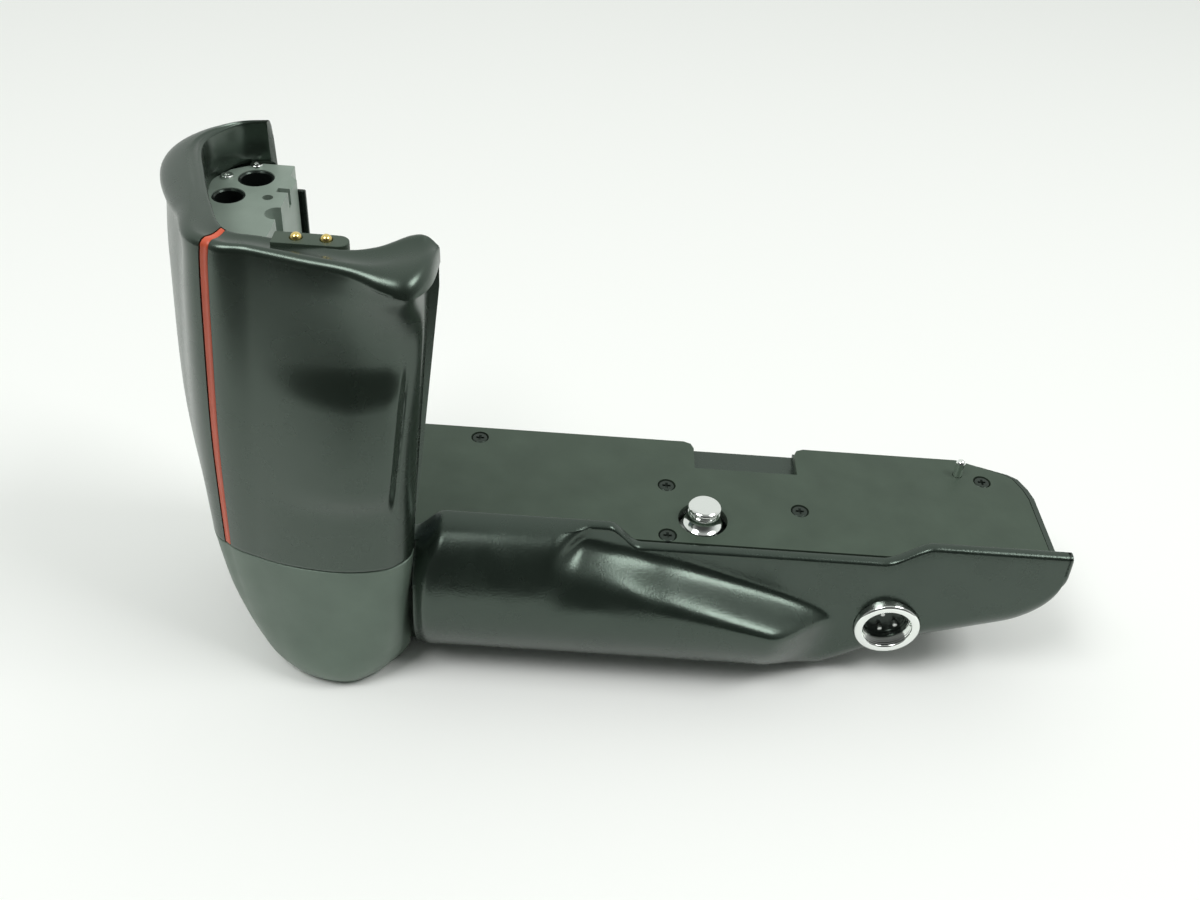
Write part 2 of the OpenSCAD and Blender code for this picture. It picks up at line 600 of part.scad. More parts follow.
// Bay of the two lying cells, open to the rear, with the door's hinge and latch pockets
module battery_bay() {
  box([door_left, bay_front, bay_low], [bay_end, base_rear + 1, door_top]);
  along_hinge(0) cylinder(r = barrel_r + clear_gap, h = door_right - door_left);
  box([door_left, hinge_y, hinge_z - barrel_r - clear_gap], [door_right, base_rear + 1, hinge_z]);
  along_hinge(hinge_end) cylinder(r = hinge_r, h = door_right - door_left + 2 * hinge_end);
  box([latch_x - 0.5 * tongue_w - clear_gap, base_rear - door_t - clear_gap, door_top - past],
    [latch_x + 0.5 * tongue_w + clear_gap, base_rear - door_t + tongue_t + clear_gap,
      door_top + latch_travel + past]);
}

// Stepped hole for the terminal, open behind for its wires
module terminal_well() {
  out_front(terminal_x, terminal_z) {
    translate([0, 0, -ring_seat]) cylinder(r = ring_r + 0.1, h = 20);
    translate([0, 0, barrel_end - 6]) cylinder(r = barrel_out, h = 20);
  }
}

// Starts a piece on the hinge's axis, a length beyond the door's left end
module along_hinge(before) {
  translate([door_left - before, hinge_y, hinge_z]) rotate([0, 90, 0]) children();
}

// Edge of the plate round the right end, inside the body's rim
rim_stations = [for (d = [0.4, 1, 2.4, 4.3, 7, 10, 14.3]) base_right - d];
function rim_in(x, room) = [x - (plate_rim + room) * ease(base_right - 12, base_right, x), rear_y(x)];

// Rim of the body beside the plate's right end
module rim_outline() {
  last = len(rim_stations) - 2;
  polygon(concat([[base_right - 0.05, plate_front]],
    [for (k = [0:last]) [rim_stations[k] - 0.05, rear_y(rim_stations[k]) - 0.05]],
    [for (k = [last:-1:0]) rim_in(rim_stations[k], -0.1) - [0, 0.1]], [[plate_right + 0.1, plate_front]]));
}

module plate_outline() {
  notch_end = notch_x + notch_w;
  polygon(concat(
    [[tongue_step, base_rear], [tongue_step, tongue_rear], [tongue_left, tongue_rear],
      [tongue_left, tongue_front], [tongue_step, tongue_front],
      [tongue_step, plate_front], [plate_right, plate_front]],
    [for (x = rim_stations) rim_in(x, 0.05) - [0, 0.15 * ease(base_right - 13, base_right - 9, x)]],
    [[notch_end + 2, base_rear], [notch_end + 0.6, base_rear - 0.6], [notch_end, base_rear - 2],
      [notch_end, base_rear - notch_l], [notch_x, base_rear - notch_l], [notch_x, base_rear - 2],
      [notch_x - 0.6, base_rear - 0.6], [notch_x - 2, base_rear]]));
}

module top_plate() {
  color(plate_black) difference() {
    translate([0, 0, seat_z]) linear_extrude(plate_t) plate_outline();
    translate([0, 0, seat_z - past]) cylinder(r = screw_hole_r, h = plate_t + 1);
    for (p = plate_screw_places) {
      translate([p[0], p[1], seat_z - past]) cylinder(r = screw_shank_r + 0.1, h = plate_t + 1);
      translate([p[0], p[1], -screw_head_h - screw_sink]) cylinder(r = screw_head_r + 0.2, h = plate_t);
    }
    translate([pin_place[0], pin_place[1], seat_z - past]) cylinder(r = pin_r + pin_step, h = plate_t + 1);
  }
}

module cross_screw(head_r, head_h, shank_r, shank_l) {
  difference() {
    union() {
      translate([0, 0, -head_h]) cylinder(r = head_r, h = head_h);
      translate([0, 0, -head_h - shank_l]) cylinder(r = shank_r, h = shank_l + 0.1);
    }
    for (a = [0, 90]) {
      rotate([0, 0, a]) cube([1.3 * head_r, 0.3 * head_r, 0.9 * head_h], center = true);
    }
  }
}

module plate_screws() {
  shank = plate_t - screw_head_h - screw_sink + screw_shank_l;
  color("black") for (p = plate_screw_places) {
    translate([p[0], p[1], -screw_sink]) cross_screw(screw_head_r, screw_head_h, screw_shank_r, shank);
  }
}

module bottom_plate() {
  color(plate_black) difference() {
    box([bottom_left + 0.1, bottom_front + 0.1, -base_depth],
      [bottom_right - 0.1, bottom_rear - 0.1, bottom_t - base_depth]);
    translate([0, 0, -base_depth - past]) cylinder(r = knob_r + knob_room, h = bottom_t + 1);
    translate([tripod_place[0], tripod_place[1], -base_depth - past])
      cylinder(r = tripod_r + bush_t, h = bottom_t + 1);
    for (p = bottom_screw_places) {
      translate([p[0], p[1], -base_depth - past]) {
        cylinder(r = screw_head_r + 0.2, h = past + screw_head_h + screw_sink);
        cylinder(r = screw_shank_r + 0.1, h = bottom_t + 1);
      }
    }
  }
}

module bottom_screws() {
  shank = bottom_t - screw_head_h - screw_sink + screw_shank_l - 0.4;
  color("black") for (p = bottom_screw_places) {
    translate([p[0], p[1], screw_sink - base_depth]) rotate([180, 0, 0])
      cross_screw(screw_head_r, screw_head_h, screw_shank_r, shank);
  }
}

module attach_screw() {
  color(steel) difference() {
    union() {
      translate([0, 0, skirt_top - past])
        cylinder(r = screw_r, h = screw_top - skirt_top - screw_chamfer + past);
      translate([0, 0, screw_top - screw_chamfer])
        cylinder(r1 = screw_r, r2 = screw_r - screw_chamfer, h = screw_chamfer);
      translate([0, 0, skirt_foot]) cylinder(r1 = skirt_r, r2 = screw_r, h = skirt_top - skirt_foot);
      translate([0, 0, knob_low + knob_floor]) cylinder(r = shaft_r, h = skirt_foot - knob_low);
    }
    ring_groove(screw_r, screw_groove[2], screw_top - screw_groove[0], screw_groove[1]);
    ring_groove(shaft_r, 0.5, guide_top + 0.1, clip_t + 0.1);
  }
}

// Groove cut round a shaft
module ring_groove(r, depth, z, h) {
  ring(r + 1, r - depth, z, z + h);
}

module screw_clip() {
  color(steel) difference() {
    ring(shaft_r + 1.6, shaft_r - 0.45, guide_top + 0.1, guide_top + 0.1 + clip_t);
    box([0, -0.7 * shaft_r, guide_top - 1], [10, 0.7 * shaft_r, guide_top + 2]);
  }
}

module screw_guide() {
  color("goldenrod") ring(guide_r - 0.01, shaft_r + run_gap, well_top, guide_top);
}

module attach_knob() {
  color("dimgray") translate([0, 0, knob_low]) difference() {
    cylinder(r = knob_r, h = knob_h);
    for (k = [0:knob_notches - 1]) {
      rotate([0, 0, 360 * k / knob_notches]) translate([knob_r + 0.35, 0, -past])
        cylinder(r = 0.8, h = knob_h + 1, $fn = 24);
    }
    translate([0, 0, knob_floor]) cylinder(r = shaft_r, h = knob_h);
    box([-0.75 * knob_r, -0.9, -past], [0.75 * knob_r, 0.9, knob_floor - 0.01]);
  }
}

module locating_pin() {
  color(steel) translate([pin_place[0], pin_place[1], 0]) {
    translate([0, 0, seat_z - pin_root]) cylinder(r = pin_r + pin_step - 0.01, h = pin_root - seat_z - 0.1);
    translate([0, 0, -0.2]) cylinder(r = pin_r, h = pin_top - pin_r + 0.2);
    intersection() {
      translate([0, 0, pin_top - pin_r]) sphere(r = pin_r);
      translate([0, 0, pin_top - pin_r]) cylinder(r = 2 * pin_r, h = 2 * pin_r);
    }
  }
}

module tripod_bush() {
  color(steel) translate([tripod_place[0], tripod_place[1], 0])
    difference() {
      translate([0, 0, 0.1 - base_depth]) cylinder(r = tripod_r + bush_t - 0.01, h = tripod_l + 1.4);
      translate([0, 0, -base_depth - past]) cylinder(r = tripod_r, h = tripod_l + 0.1 + past);
    }
}

module terminal_ring() {
  color(steel) out_front(terminal_x, terminal_z) difference() {
    union() {
      translate([0, 0, -ring_seat]) cylinder(r = ring_r, h = ring_out - 0.5);
      translate([0, 0, -ring_face - 0.5]) cylinder(r1 = ring_r, r2 = ring_r - 0.5, h = 0.5);
      translate([0, 0, -barrel_end]) cylinder(r = barrel_out - 0.01, h = barrel_end - ring_seat + 0.1);
    }
    translate([0, 0, -socket_floor]) cylinder(r = socket_r, h = 20);
    translate([0, 0, -barrel_end - past]) cylinder(r = insulator_r, h = 20);
  }
}

module terminal_insulator() {
  color("black") out_front(terminal_x, terminal_z)
    translate([0, 0, -barrel_end]) cylinder(r = insulator_r - 0.01, h = barrel_end - insulator_face);
}

module terminal_pins() {
  color(gold) out_front(terminal_x, terminal_z) for (a = terminal_pin_turns) {
    rotate([0, 0, a]) translate([0.5 * insulator_r, 0, -insulator_face])
      cylinder(r = 0.5, h = terminal_pin_l);
  }
}

module circuit_board() {
  color("darkgreen") difference() {
    box(board_low + [0.1, 0.1, 0], board_high - [0.1, 0.1, 0]);
    translate([terminal_x, board_low[1] + 6, board_z - 1]) cylinder(r = 1.5, h = 5);
  }
}

module end_plug() {
  color("black") translate(plug_place) rotate([0, 90, 0]) {
    cylinder(r = plug_r, h = plug_l);
    translate([0, 0, plug_l]) cylinder(r1 = plug_r, r2 = 0.65 * plug_r, h = 0.7);
  }
}

module cell(l) {
  cylinder(r = cell_r, h = l - 1.6);
  translate([0, 0, l - 1.6]) cylinder(r = 2.6, h = 1.6);
}

module base_cells() {
  color("slategray") for (k = [0, 1]) {
    translate([bay_left + 2, base_cell_y[k], base_cell_z]) rotate([0, 90, 0]) cell(cell_l);
  }
}

module base_contacts() {
  color(gold) for (y = base_cell_y) {
    contact_plate([door_left + 0.01, y, base_cell_z], 0.58);
    contact_plate([bay_left + 2.01 + cell_l, y, base_cell_z], bay_end - bay_left - 2.02 - cell_l);
  }
}

// Contact plate across a lying cell's end
module contact_plate(place, t) {
  translate(place + [0, -4, -5]) cube([t, 8, 10]);
}

module battery_door() {
  color(shell_black) difference() {
    union() {
      box([door_left + clear_gap, base_rear - door_t, hinge_z],
        [door_right - clear_gap, base_rear, door_top - clear_gap]);
      along_hinge(-clear_gap) cylinder(r = barrel_r, h = door_right - door_left - 2 * clear_gap);
    }
    along_hinge(1) cylinder(r = hinge_r + run_gap, h = door_right - door_left + 2);
    box([latch_x - 0.5 * latch_w - run_gap, base_rear - 0.8, pad_top - latch_h - clear_gap],
      [latch_x + 0.5 * latch_w + run_gap, base_rear + 1, pad_top + latch_travel + clear_gap]);
    box([latch_x - 0.5 * tongue_w - run_gap, base_rear - door_t - 1, pad_top - latch_h + 0.6],
      [latch_x + 0.5 * tongue_w + run_gap, base_rear - 0.5, door_top + 1]);
  }
}

module door_hinge_pin() {
  color(steel) along_hinge(hinge_end)
    cylinder(r = hinge_r - 0.01, h = door_right - door_left + 2 * hinge_end);
}

// Sliding latch: a ribbed thumb pad on the door's face, its tongue sliding up behind the bay's upper edge
module door_latch() {
  pad_low = pad_top - latch_h;
  color("dimgray") {
    difference() {
      box([latch_x - 0.5 * latch_w, base_rear - 0.75, pad_low],
        [latch_x + 0.5 * latch_w, base_rear + 0.3, pad_top]);
      for (k = [1:3]) {
        box([latch_x - 3, base_rear + 0.05, pad_low + k - 0.2],
          [latch_x + 3, base_rear + 1, pad_low + k + 0.2]);
      }
    }
    box([latch_x - 0.5 * tongue_w, base_rear - door_t, pad_low + 0.9],
      [latch_x + 0.5 * tongue_w, base_rear - door_t + tongue_t, latch_top]);
    box([latch_x - 0.5 * tongue_w, base_rear - door_t, pad_low + 0.9],
      [latch_x + 0.5 * tongue_w, base_rear - 0.7, pad_top - 0.6]);
  }
}

module grip_shell() {
  color(shell_black) difference() {
    shell_wall();
    box([block_x - 0.5 * block_w, block_front, block_low],
      [block_x + 0.5 * block_w, block_rear + 5, block_top + 5]);
  }
}

// Wall of the tower as one closed skin: outside, inside, top, seam and the two upright ends
module shell_wall() {
  outer = [for (p = shell_places) let (c = outer_column(p)) in_stripe(p) ? sunk(c, stripe_t) : c];
  inner = [for (p = shell_places)
    let (c = inner_column(p), last = len(c) - 1)
    [for (k = [0:last]) c[k] - [0, 0, in_stripe(p) && k == last ? stripe_t : 0]]];
  rows = len(shell_places);
  count = len(outer[0]);
  second = rows * count;
  strip = function (row, col) [row * count + col, second + row * count + col];
  up = function (a, b) [[a[0], b[1], a[1]], [a[0], b[0], b[1]]];
  down = function (a, b) [[a[0], a[1], b[1]], [a[0], b[1], b[0]]];
  edges = concat(
    [for (r = [0:rows - 2]) each up(strip(r, count - 1), strip(r + 1, count - 1))],
    [for (r = [0:rows - 2]) each down(strip(r, 0), strip(r + 1, 0))],
    [for (c = [0:count - 2]) each up(strip(0, c), strip(0, c + 1))],
    [for (c = [0:count - 2]) each down(strip(rows - 1, c), strip(rows - 1, c + 1))]);
  polyhedron(concat(flat(outer), flat(inner)),
    concat(grid(rows, count), grid(rows, count, second, true), edges), convexity = 8);
}

module red_stripe() {
  sides = [stripe_place - stripe_left, stripe_place + stripe_right];
  column = function (place) let (i = inner_column(place)) concat(outer_column(place), [i[len(i) - 1]]);
  tops = [for (s = sides) column(s)];
  beds = [for (t = tops) sunk(t, stripe_t - 0.02)];
  color("tomato") loft([for (k = [0:len(tops[0]) - 1]) [tops[0][k], tops[1][k], beds[1][k], beds[0][k]]], 0);
}

module grip_foot() {
  color(shell_black) difference() {
    loft(concat([rim_ring(seat_z), rim_ring(seam_z)], [for (l = foot_rows) foot_ring(l)]), foot_apex);
    slab(frame_plan, frame_low, seam_z + 1);
    tower_cell_wells(20);
    for (p = foot_screw_places) {
      translate([p[0], p[1], seat_z - screw_shank_l - 0.4]) cylinder(r = screw_shank_r + 0.02, h = 6);
    }
    at_release() {
      translate([0, 0, release_seat]) cylinder(r = collar_out + clear_gap, h = 20);
      translate([0, 0, bezel_low - 0.1]) cylinder(r = bezel_r, h = 20);
      translate([0, 0, switch_low - 0.1]) cylinder(r = switch_r + 0.1, h = 6);
    }
  }
}

// Room for the two upright cells
module tower_cell_wells(h) {
  for (y = tower_cell_y) {
    translate([tower_cell_x, y, tower_cell_z - contact_t]) cylinder(r = cell_r + cell_gap, h = h);
  }
}

module battery_frame() {
  color("black") difference() {
    union() {
      slab(frame_plan, frame_low, frame_step);
      slab(frame_top_plan, frame_step - 0.01, frame_z);
    }
    tower_cell_wells(cell_top - tower_cell_z + contact_t);
    for (p = bush_places) {
      translate([base_left + p[0], p[1], frame_z - bush_l - 0.1]) cylinder(r = p[2], h = 10);
    }
    for (p = frame_screw_places) {
      translate([base_left + p[0], p[1], frame_z - frame_screw_l - 1]) cylinder(r = frame_shank_r, h = 10);
    }
    for (p = [frame_hole, frame_notch]) {
      translate([base_left + p[0], p[1], frame_z - 5]) cylinder(r = p[2], h = 10);
    }
    translate([base_left + frame_slot[0], frame_slot[1], frame_z - 3]) cube([4, 1.4, 10]);
  }
}

module frame_screws() {
  color("black") for (p = frame_screw_places) {
    translate([base_left + p[0], p[1], frame_z + frame_head_h])
      cross_screw(frame_head_r, frame_head_h, frame_shank_r - 0.01, frame_screw_l);
  }
}

module guide_bushes() {
  color("dimgray") for (p = bush_places) {
    translate([base_left + p[0], p[1], frame_z - 0.1]) ring(p[2] - 0.01, p[2] - bush_wall, -bush_l, 0);
  }
}

module stop_plate() {
  color("black")
    box([base_left - 24, stop_y, frame_step + 1], [base_left - 22, stop_y + stop_t, frame_z - 3.5]);
}

module tower_cells() {
  color("slategray") for (y = tower_cell_y) {
    translate([tower_cell_x, y, tower_cell_z]) cell(cell_l);
  }
}

module tower_contacts() {
  color(gold) for (y = tower_cell_y) {
    box([tower_cell_x - 4, y - 4, tower_cell_z - contact_t], [tower_cell_x + 4, y + 4, tower_cell_z - 0.01]);
    box([tower_cell_x - 4, y - 4, tower_cell_z + cell_l + 0.01], [tower_cell_x + 4, y + 4, cell_top]);
  }
}

module contact_block() {
  left = block_x - 0.5 * block_w + 0.01;
  right = block_x + 0.5 * block_w - 0.01;
  front = block_front + 0.01;
  low = block_low + 0.01;
  color("black") difference() {
    union() {
      box([left, front, low], [right - block_corner, block_rear, block_top]);
      box([right - block_corner - past, front, low], [right, block_rear - block_corner, block_top]);
      translate([right - block_corner, block_rear - block_corner, low])
        cylinder(r = block_corner, h = block_top - low);
    }
    for (side = [-1, 1]) {
      place = [block_x + side * 0.5 * contact_pitch, contact_y, block_top - contact_l - contact_travel - 0.4];
      translate(place) cylinder(r = contact_r + run_gap, h = 10);
    }
  }
}

module contact_pin(side) {
  dome_z = block_top + contact_up - contact_r;
  stem = contact_l + contact_up - contact_r;
  color(gold) translate([block_x + side * 0.5 * contact_pitch, contact_y, dome_z]) {
    translate([0, 0, -stem]) cylinder(r = contact_r, h = stem);
    intersection() {
      sphere(r = contact_r);
      cylinder(r = 2 * contact_r, h = 2 * contact_r);
    }
  }
}

module contact_pin_left() {
  contact_pin(-1);
}

module contact_pin_right() {
  contact_pin(1);
}

module release_bezel() {
  color(steel) at_release()
    ring(bezel_r - 0.01, button_r + run_gap, bezel_low, collar_h + release_seat + 0.4);
}

module release_button() {
  color("black") at_release() {
    translate([0, 0, button_low]) cylinder(r = button_r, h = button_top - button_low);
    translate([0, 0, button_top]) cylinder(r1 = button_r, r2 = button_r - 0.7, h = 0.5);
  }
}

module release_collar() {
  color("dimgray") at_release() {
    ring(collar_out, collar_in, release_seat + run_gap, release_seat + collar_h);
    translate([0.5 * (collar_in + collar_out), 0, release_seat + collar_h - 0.1])
      cylinder(r = 0.35 * collar_w, h = 0.8);
  }
}

module release_switch() {
  plunger_top = button_low - button_travel - 0.2;
  color("darkslategray") at_release() {
    translate([0, 0, switch_low]) cylinder(r = switch_r, h = switch_top - switch_low);
    translate([0, 0, switch_top - 0.1]) cylinder(r = 1.2, h = plunger_top - switch_top + 0.1);
  }
}

base_body();
top_plate();
bottom_plate();
plate_screws();
bottom_screws();
attach_screw();
screw_clip();
attach_knob();
screw_guide();
locating_pin();
tripod_bush();
terminal_ring();
terminal_insulator();
terminal_pins();
circuit_board();
end_plug();
base_cells();
base_contacts();
battery_door();
door_hinge_pin();
door_latch();
grip_shell();
red_stripe();
grip_foot();
battery_frame();
frame_screws();
guide_bushes();
stop_plate();
tower_cells();
tower_contacts();
contact_block();
contact_pin_left();
contact_pin_right();
release_bezel();
release_button();
release_collar();
release_switch();
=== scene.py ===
"""Looks of the camera battery grip: smooth shells, turned metal, screws and studio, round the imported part."""

import json
import math

import bmesh
import bpy
from mathutils import Matrix, Vector


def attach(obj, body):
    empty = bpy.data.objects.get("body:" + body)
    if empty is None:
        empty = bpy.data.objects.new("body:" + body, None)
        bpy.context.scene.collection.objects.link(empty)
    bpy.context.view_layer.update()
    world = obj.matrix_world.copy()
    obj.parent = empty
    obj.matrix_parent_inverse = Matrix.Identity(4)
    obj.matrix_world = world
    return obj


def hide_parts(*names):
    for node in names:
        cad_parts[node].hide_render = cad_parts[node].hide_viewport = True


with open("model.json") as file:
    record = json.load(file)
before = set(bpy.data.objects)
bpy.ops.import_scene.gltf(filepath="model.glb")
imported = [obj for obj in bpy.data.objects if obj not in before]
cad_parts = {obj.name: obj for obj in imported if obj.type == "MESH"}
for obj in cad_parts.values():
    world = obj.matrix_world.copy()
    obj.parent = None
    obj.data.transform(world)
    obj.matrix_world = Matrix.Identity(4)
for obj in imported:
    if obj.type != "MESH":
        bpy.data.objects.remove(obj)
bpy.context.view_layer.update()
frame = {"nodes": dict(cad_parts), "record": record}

MM = 0.001
UPWARD = (0, 0, 1)
DOWNWARD = (0, 0, -1)
FORWARD = (0, -1, 0)
RIGHTWARD = (1, 0, 0)
# Heights that cutting tools reach to, clear of the part
BELOW_ALL = -31
ABOVE_ALL = 70
# Edges sharper than this angle, in degrees, stay sharp
CREASE = 32


# Blends and curves

def clamp(t):
    return max(0.0, min(1.0, t))


def mix(a, b, t):
    if isinstance(a, (tuple, list)):
        return tuple(x + (y - x) * t for x, y in zip(a, b))
    return a + (b - a) * t


def ease(a, b, v):
    t = clamp((v - a) / (b - a))
    return t * t * (3 - 2 * t)


def cubic(a, b, c, d, t):
    linear = (c - a) * t
    square = (2 * a - 5 * b + 4 * c - d) * t * t
    cube = (3 * b - a - 3 * c + d) * t ** 3
    return 0.5 * (2 * b + linear + square + cube)


def along(points, place):
    """Point on a smooth curve through the points, at a place counted in points from the first."""
    last = len(points) - 1
    k = max(0, min(last - 1, math.floor(place)))
    near = (points[max(0, k - 1)], points[k], points[k + 1], points[min(last, k + 2)])
    if isinstance(points[0], (tuple, list)):
        return tuple(cubic(*values, place - k) for values in zip(*near))
    return cubic(*near, place - k)


def steps(a, b, count):
    return [a + (b - a) * k / count for k in range(count + 1)]


def angles(a, b, count):
    """Equally spaced angles from a to b degrees, in radians."""
    return [math.radians(angle) for angle in steps(a, b, count)]


# Meshes

def shade(mesh, crease):
    """Smooth faces, with edges sharper than the crease angle kept sharp."""
    work = bmesh.new()
    work.from_mesh(mesh)
    bmesh.ops.remove_doubles(work, verts=work.verts, dist=1e-7)
    bmesh.ops.recalc_face_normals(work, faces=work.faces)
    limit = math.radians(crease)
    for face in work.faces:
        face.smooth = True
    for edge in work.edges:
        edge.smooth = len(edge.link_faces) == 2 and edge.calc_face_angle(0) < limit
    work.to_mesh(mesh)
    work.free()


def piece(name, points, faces, crease=CREASE):
    """Mesh object from points in millimetres."""
    mesh = bpy.data.meshes.new(name)
    mesh.from_pydata([(x * MM, y * MM, z * MM) for x, y, z in points], [], faces)
    shade(mesh, crease)
    obj = bpy.data.objects.new(name, mesh)
    bpy.context.collection.objects.link(obj)
    return obj


def loft(name, sections, crease=CREASE):
    """Closed solid through equal closed sections."""
    count = len(sections[0])
    points = [p for section in sections for p in section]
    faces = []
    for row in range(len(sections) - 1):
        for c in range(count):
            a = row * count + c
            b = row * count + (c + 1) % count
            faces.append((a, b, b + count, a + count))
    last = (len(sections) - 1) * count
    faces.append(tuple(reversed(range(count))))
    faces.append(tuple(range(last, last + count)))
    return piece(name, points, faces, crease)


def turned(name, profile, place, axis=UPWARD, count=96):
    """Piece turned about an axis from points of radius and height, the first and last on the axis."""
    turn = Vector(UPWARD).rotation_difference(Vector(axis))
    points = []
    rings = []
    for radius, height in profile:
        ring = []
        for k in range(1 if radius == 0 else count):
            angle = 2 * math.pi * k / count
            spot = turn @ Vector((radius * math.cos(angle), radius * math.sin(angle), height))
            ring.append(len(points))
            points.append(tuple(spot + Vector(place)))
        rings.append(ring)
    faces = []
    for low, high in zip(rings, rings[1:]):
        for k in range(count):
            after = (k + 1) % count
            corners = [low[k % len(low)], low[after % len(low)], high[after % len(high)], high[k % len(high)]]
            face = tuple(dict.fromkeys(corners))
            if len(face) > 2:
                faces.append(face)
    return piece(name, points, faces)


def tube(name, profile, place, axis=UPWARD, count=96):
    """Ring turned about an axis from a closed profile that never meets the axis."""
    return turned(name, profile + [profile[0]], place, axis, count)


def prism(name, outline, low, high):
    """Upright solid on an outline, between two heights."""
    return loft(name, [[(x, y, z) for x, y in outline] for z in (low, high)])


def block(name, low, high):
    """Box between its lowest and highest corners."""
    outline = [(low[0], low[1]), (high[0], low[1]), (high[0], high[1]), (low[0], high[1])]
    return prism(name, outline, low[2], high[2])


def rod(name, place, axis, radius, start, end, count=64):
    """Plain cylinder along an axis, between two distances from the place."""
    return turned(name, [(0, start), (radius, start), (radius, end), (0, end)], place, axis, count)


def join(parts):
    """One object from several, under the first one's name."""
    work = bmesh.new()
    for part in parts:
        work.from_mesh(part.data)
    work.to_mesh(parts[0].data)
    work.free()
    for part in parts[1:]:
        bpy.data.objects.remove(part)
    return parts[0]


def settle(obj):
    """Makes an object's modifiers part of its mesh."""
    bpy.context.view_layer.update()
    ready = obj.evaluated_get(bpy.context.evaluated_depsgraph_get())
    mesh = bpy.data.meshes.new_from_object(ready)
    obj.modifiers.clear()
    obj.data = mesh


def cut(obj, tools):
    """Takes the tools' shapes out of an object and deletes the tools."""
    for tool in tools:
        step = obj.modifiers.new("cut", "BOOLEAN")
        step.operation = "DIFFERENCE"
        step.solver = "EXACT"
        step.object = tool
    settle(obj)
    for tool in tools:
        bpy.data.objects.remove(tool)
    shade(obj.data, CREASE)
    return obj


def soften(obj, width):
    """Rounds an object's hard edges."""
    edge = obj.modifiers.new("soften", "BEVEL")
    edge.width = width * MM
    edge.segments = 3
    edge.limit_method = "ANGLE"
    edge.angle_limit = math.radians(40)
    edge.harden_normals = True
    return obj


# Finishes

# Sizes of the soft patches of colour and of gloss, in millimetres
TONE_PATCH = 9
GLOSS_PATCH = 6


def finish(name, colour, rough, grain, depth, metal=0.0, spread=0.06, tone=0.12, shine=0.5, tint=(1, 1, 1)):
    """Fine-grained surface that varies a little in colour, by tone, and in roughness, by spread.

    The grain's size and depth are in millimetres.
    """
    material = bpy.data.materials.new(name)
    material.use_nodes = True
    nodes = material.node_tree.nodes
    links = material.node_tree.links
    shader = nodes["Principled BSDF"]
    shader.inputs["Metallic"].default_value = metal
    shader.inputs["Specular IOR Level"].default_value = shine
    shader.inputs["Specular Tint"].default_value = tint + (1,)
    spot = nodes.new("ShaderNodeTexCoord").outputs["Object"]

    def noise(size, detail):
        node = nodes.new("ShaderNodeTexNoise")
        node.inputs["Scale"].default_value = 1 / (size * MM)
        node.inputs["Detail"].default_value = detail
        links.new(spot, node.inputs["Vector"])
        return node.outputs["Fac"]

    def ramp(fac, low, high):
        node = nodes.new("ShaderNodeValToRGB")
        node.color_ramp.elements[0].position = 0.3
        node.color_ramp.elements[1].position = 0.7
        node.color_ramp.elements[0].color = low
        node.color_ramp.elements[1].color = high
        links.new(fac, node.inputs["Fac"])
        return node.outputs["Color"]

    dark = tuple(c * (1 - tone) for c in colour) + (1,)
    pale = tuple(c * (1 + tone) for c in colour) + (1,)
    links.new(ramp(noise(TONE_PATCH, 4), dark, pale), shader.inputs["Base Color"])
    smooth = (max(0.02, rough - spread),) * 3 + (1,)
    coarse = (min(1.0, rough + spread),) * 3 + (1,)
    links.new(ramp(noise(GLOSS_PATCH, 6), smooth, coarse), shader.inputs["Roughness"])
    bump = nodes.new("ShaderNodeBump")
    bump.inputs["Strength"].default_value = 1.0
    bump.inputs["Distance"].default_value = depth * MM
    links.new(noise(grain, 3), bump.inputs["Height"])
    links.new(bump.outputs["Normal"], shader.inputs["Normal"])
    return material


# Greenish gloss of the dark mouldings
MOSS = (0.80, 1.0, 0.86)
FINISHES = {
    "shell_black": finish("shell_black", (0.011, 0.0165, 0.0125), 0.25, 0.4, 0.03, shine=0.95, tint=MOSS),
    "grip_black": finish("grip_black", (0.012, 0.018, 0.013), 0.27, 0.25, 0.002, spread=0.02,
                         shine=1.0, tint=MOSS),
    # The foot's grey, far paler than the shell's black, is painted reflection of the bright floor
    "foot_painted_floor_reflection": finish("foot_painted_floor_reflection", (0.100, 0.134, 0.106), 0.38, 0.3, 0.012, shine=0.9, tint=MOSS),
    "plate_black": finish("plate_black", (0.047, 0.066, 0.048), 0.50, 0.30, 0.010, tint=MOSS),
    "screw_black": finish("screw_black", (0.012, 0.016, 0.013), 0.30, 0.40, 0.004, tint=MOSS),
    "chrome": finish("chrome", (0.88, 0.91, 0.88), 0.10, 0.8, 0.002, metal=1.0, spread=0.04, tone=0.04),
    "steel": finish("steel", (0.58, 0.60, 0.58), 0.26, 0.5, 0.004, metal=1.0),
    "knob_black": finish("knob_black", (0.018, 0.022, 0.019), 0.42, 0.30, 0.012),
    "trim_black": finish("trim_black", (0.008, 0.010, 0.009), 0.22, 0.30, 0.003, tint=MOSS),
    "gold": finish("gold", (0.86, 0.66, 0.24), 0.22, 0.4, 0.003, metal=1.0, tone=0.06),
    "board": finish("board", (0.02, 0.10, 0.04), 0.35, 0.6, 0.010),
    "cell_skin": finish("cell_skin", (0.10, 0.13, 0.15), 0.30, 0.8, 0.004),
    "stripe_red": finish("stripe_red", (0.60, 0.090, 0.036), 0.38, 0.25, 0.004, tone=0.05),
    "frame_black": finish("frame_black", (0.205, 0.255, 0.216), 0.36, 0.30, 0.004, tint=MOSS),
}

node_slots = {part["node"]: part["material_slot"] for part in frame["record"]["subparts"]}
for name, obj in frame["nodes"].items():
    obj.data.materials.clear()
    obj.data.materials.append(FINISHES[node_slots[name]])


def dress(obj, node, slot=None, body="grip", look=None):
    """Gives a piece its finish and its place in the frame; a look is a finish other than its slot's."""
    used = slot or node_slots[node]
    obj.data.materials.clear()
    obj.data.materials.append(FINISHES[look or used])
    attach(obj, body)
    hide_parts(node)


# Base sizes, in millimetres from the attaching screw's axis at the seat

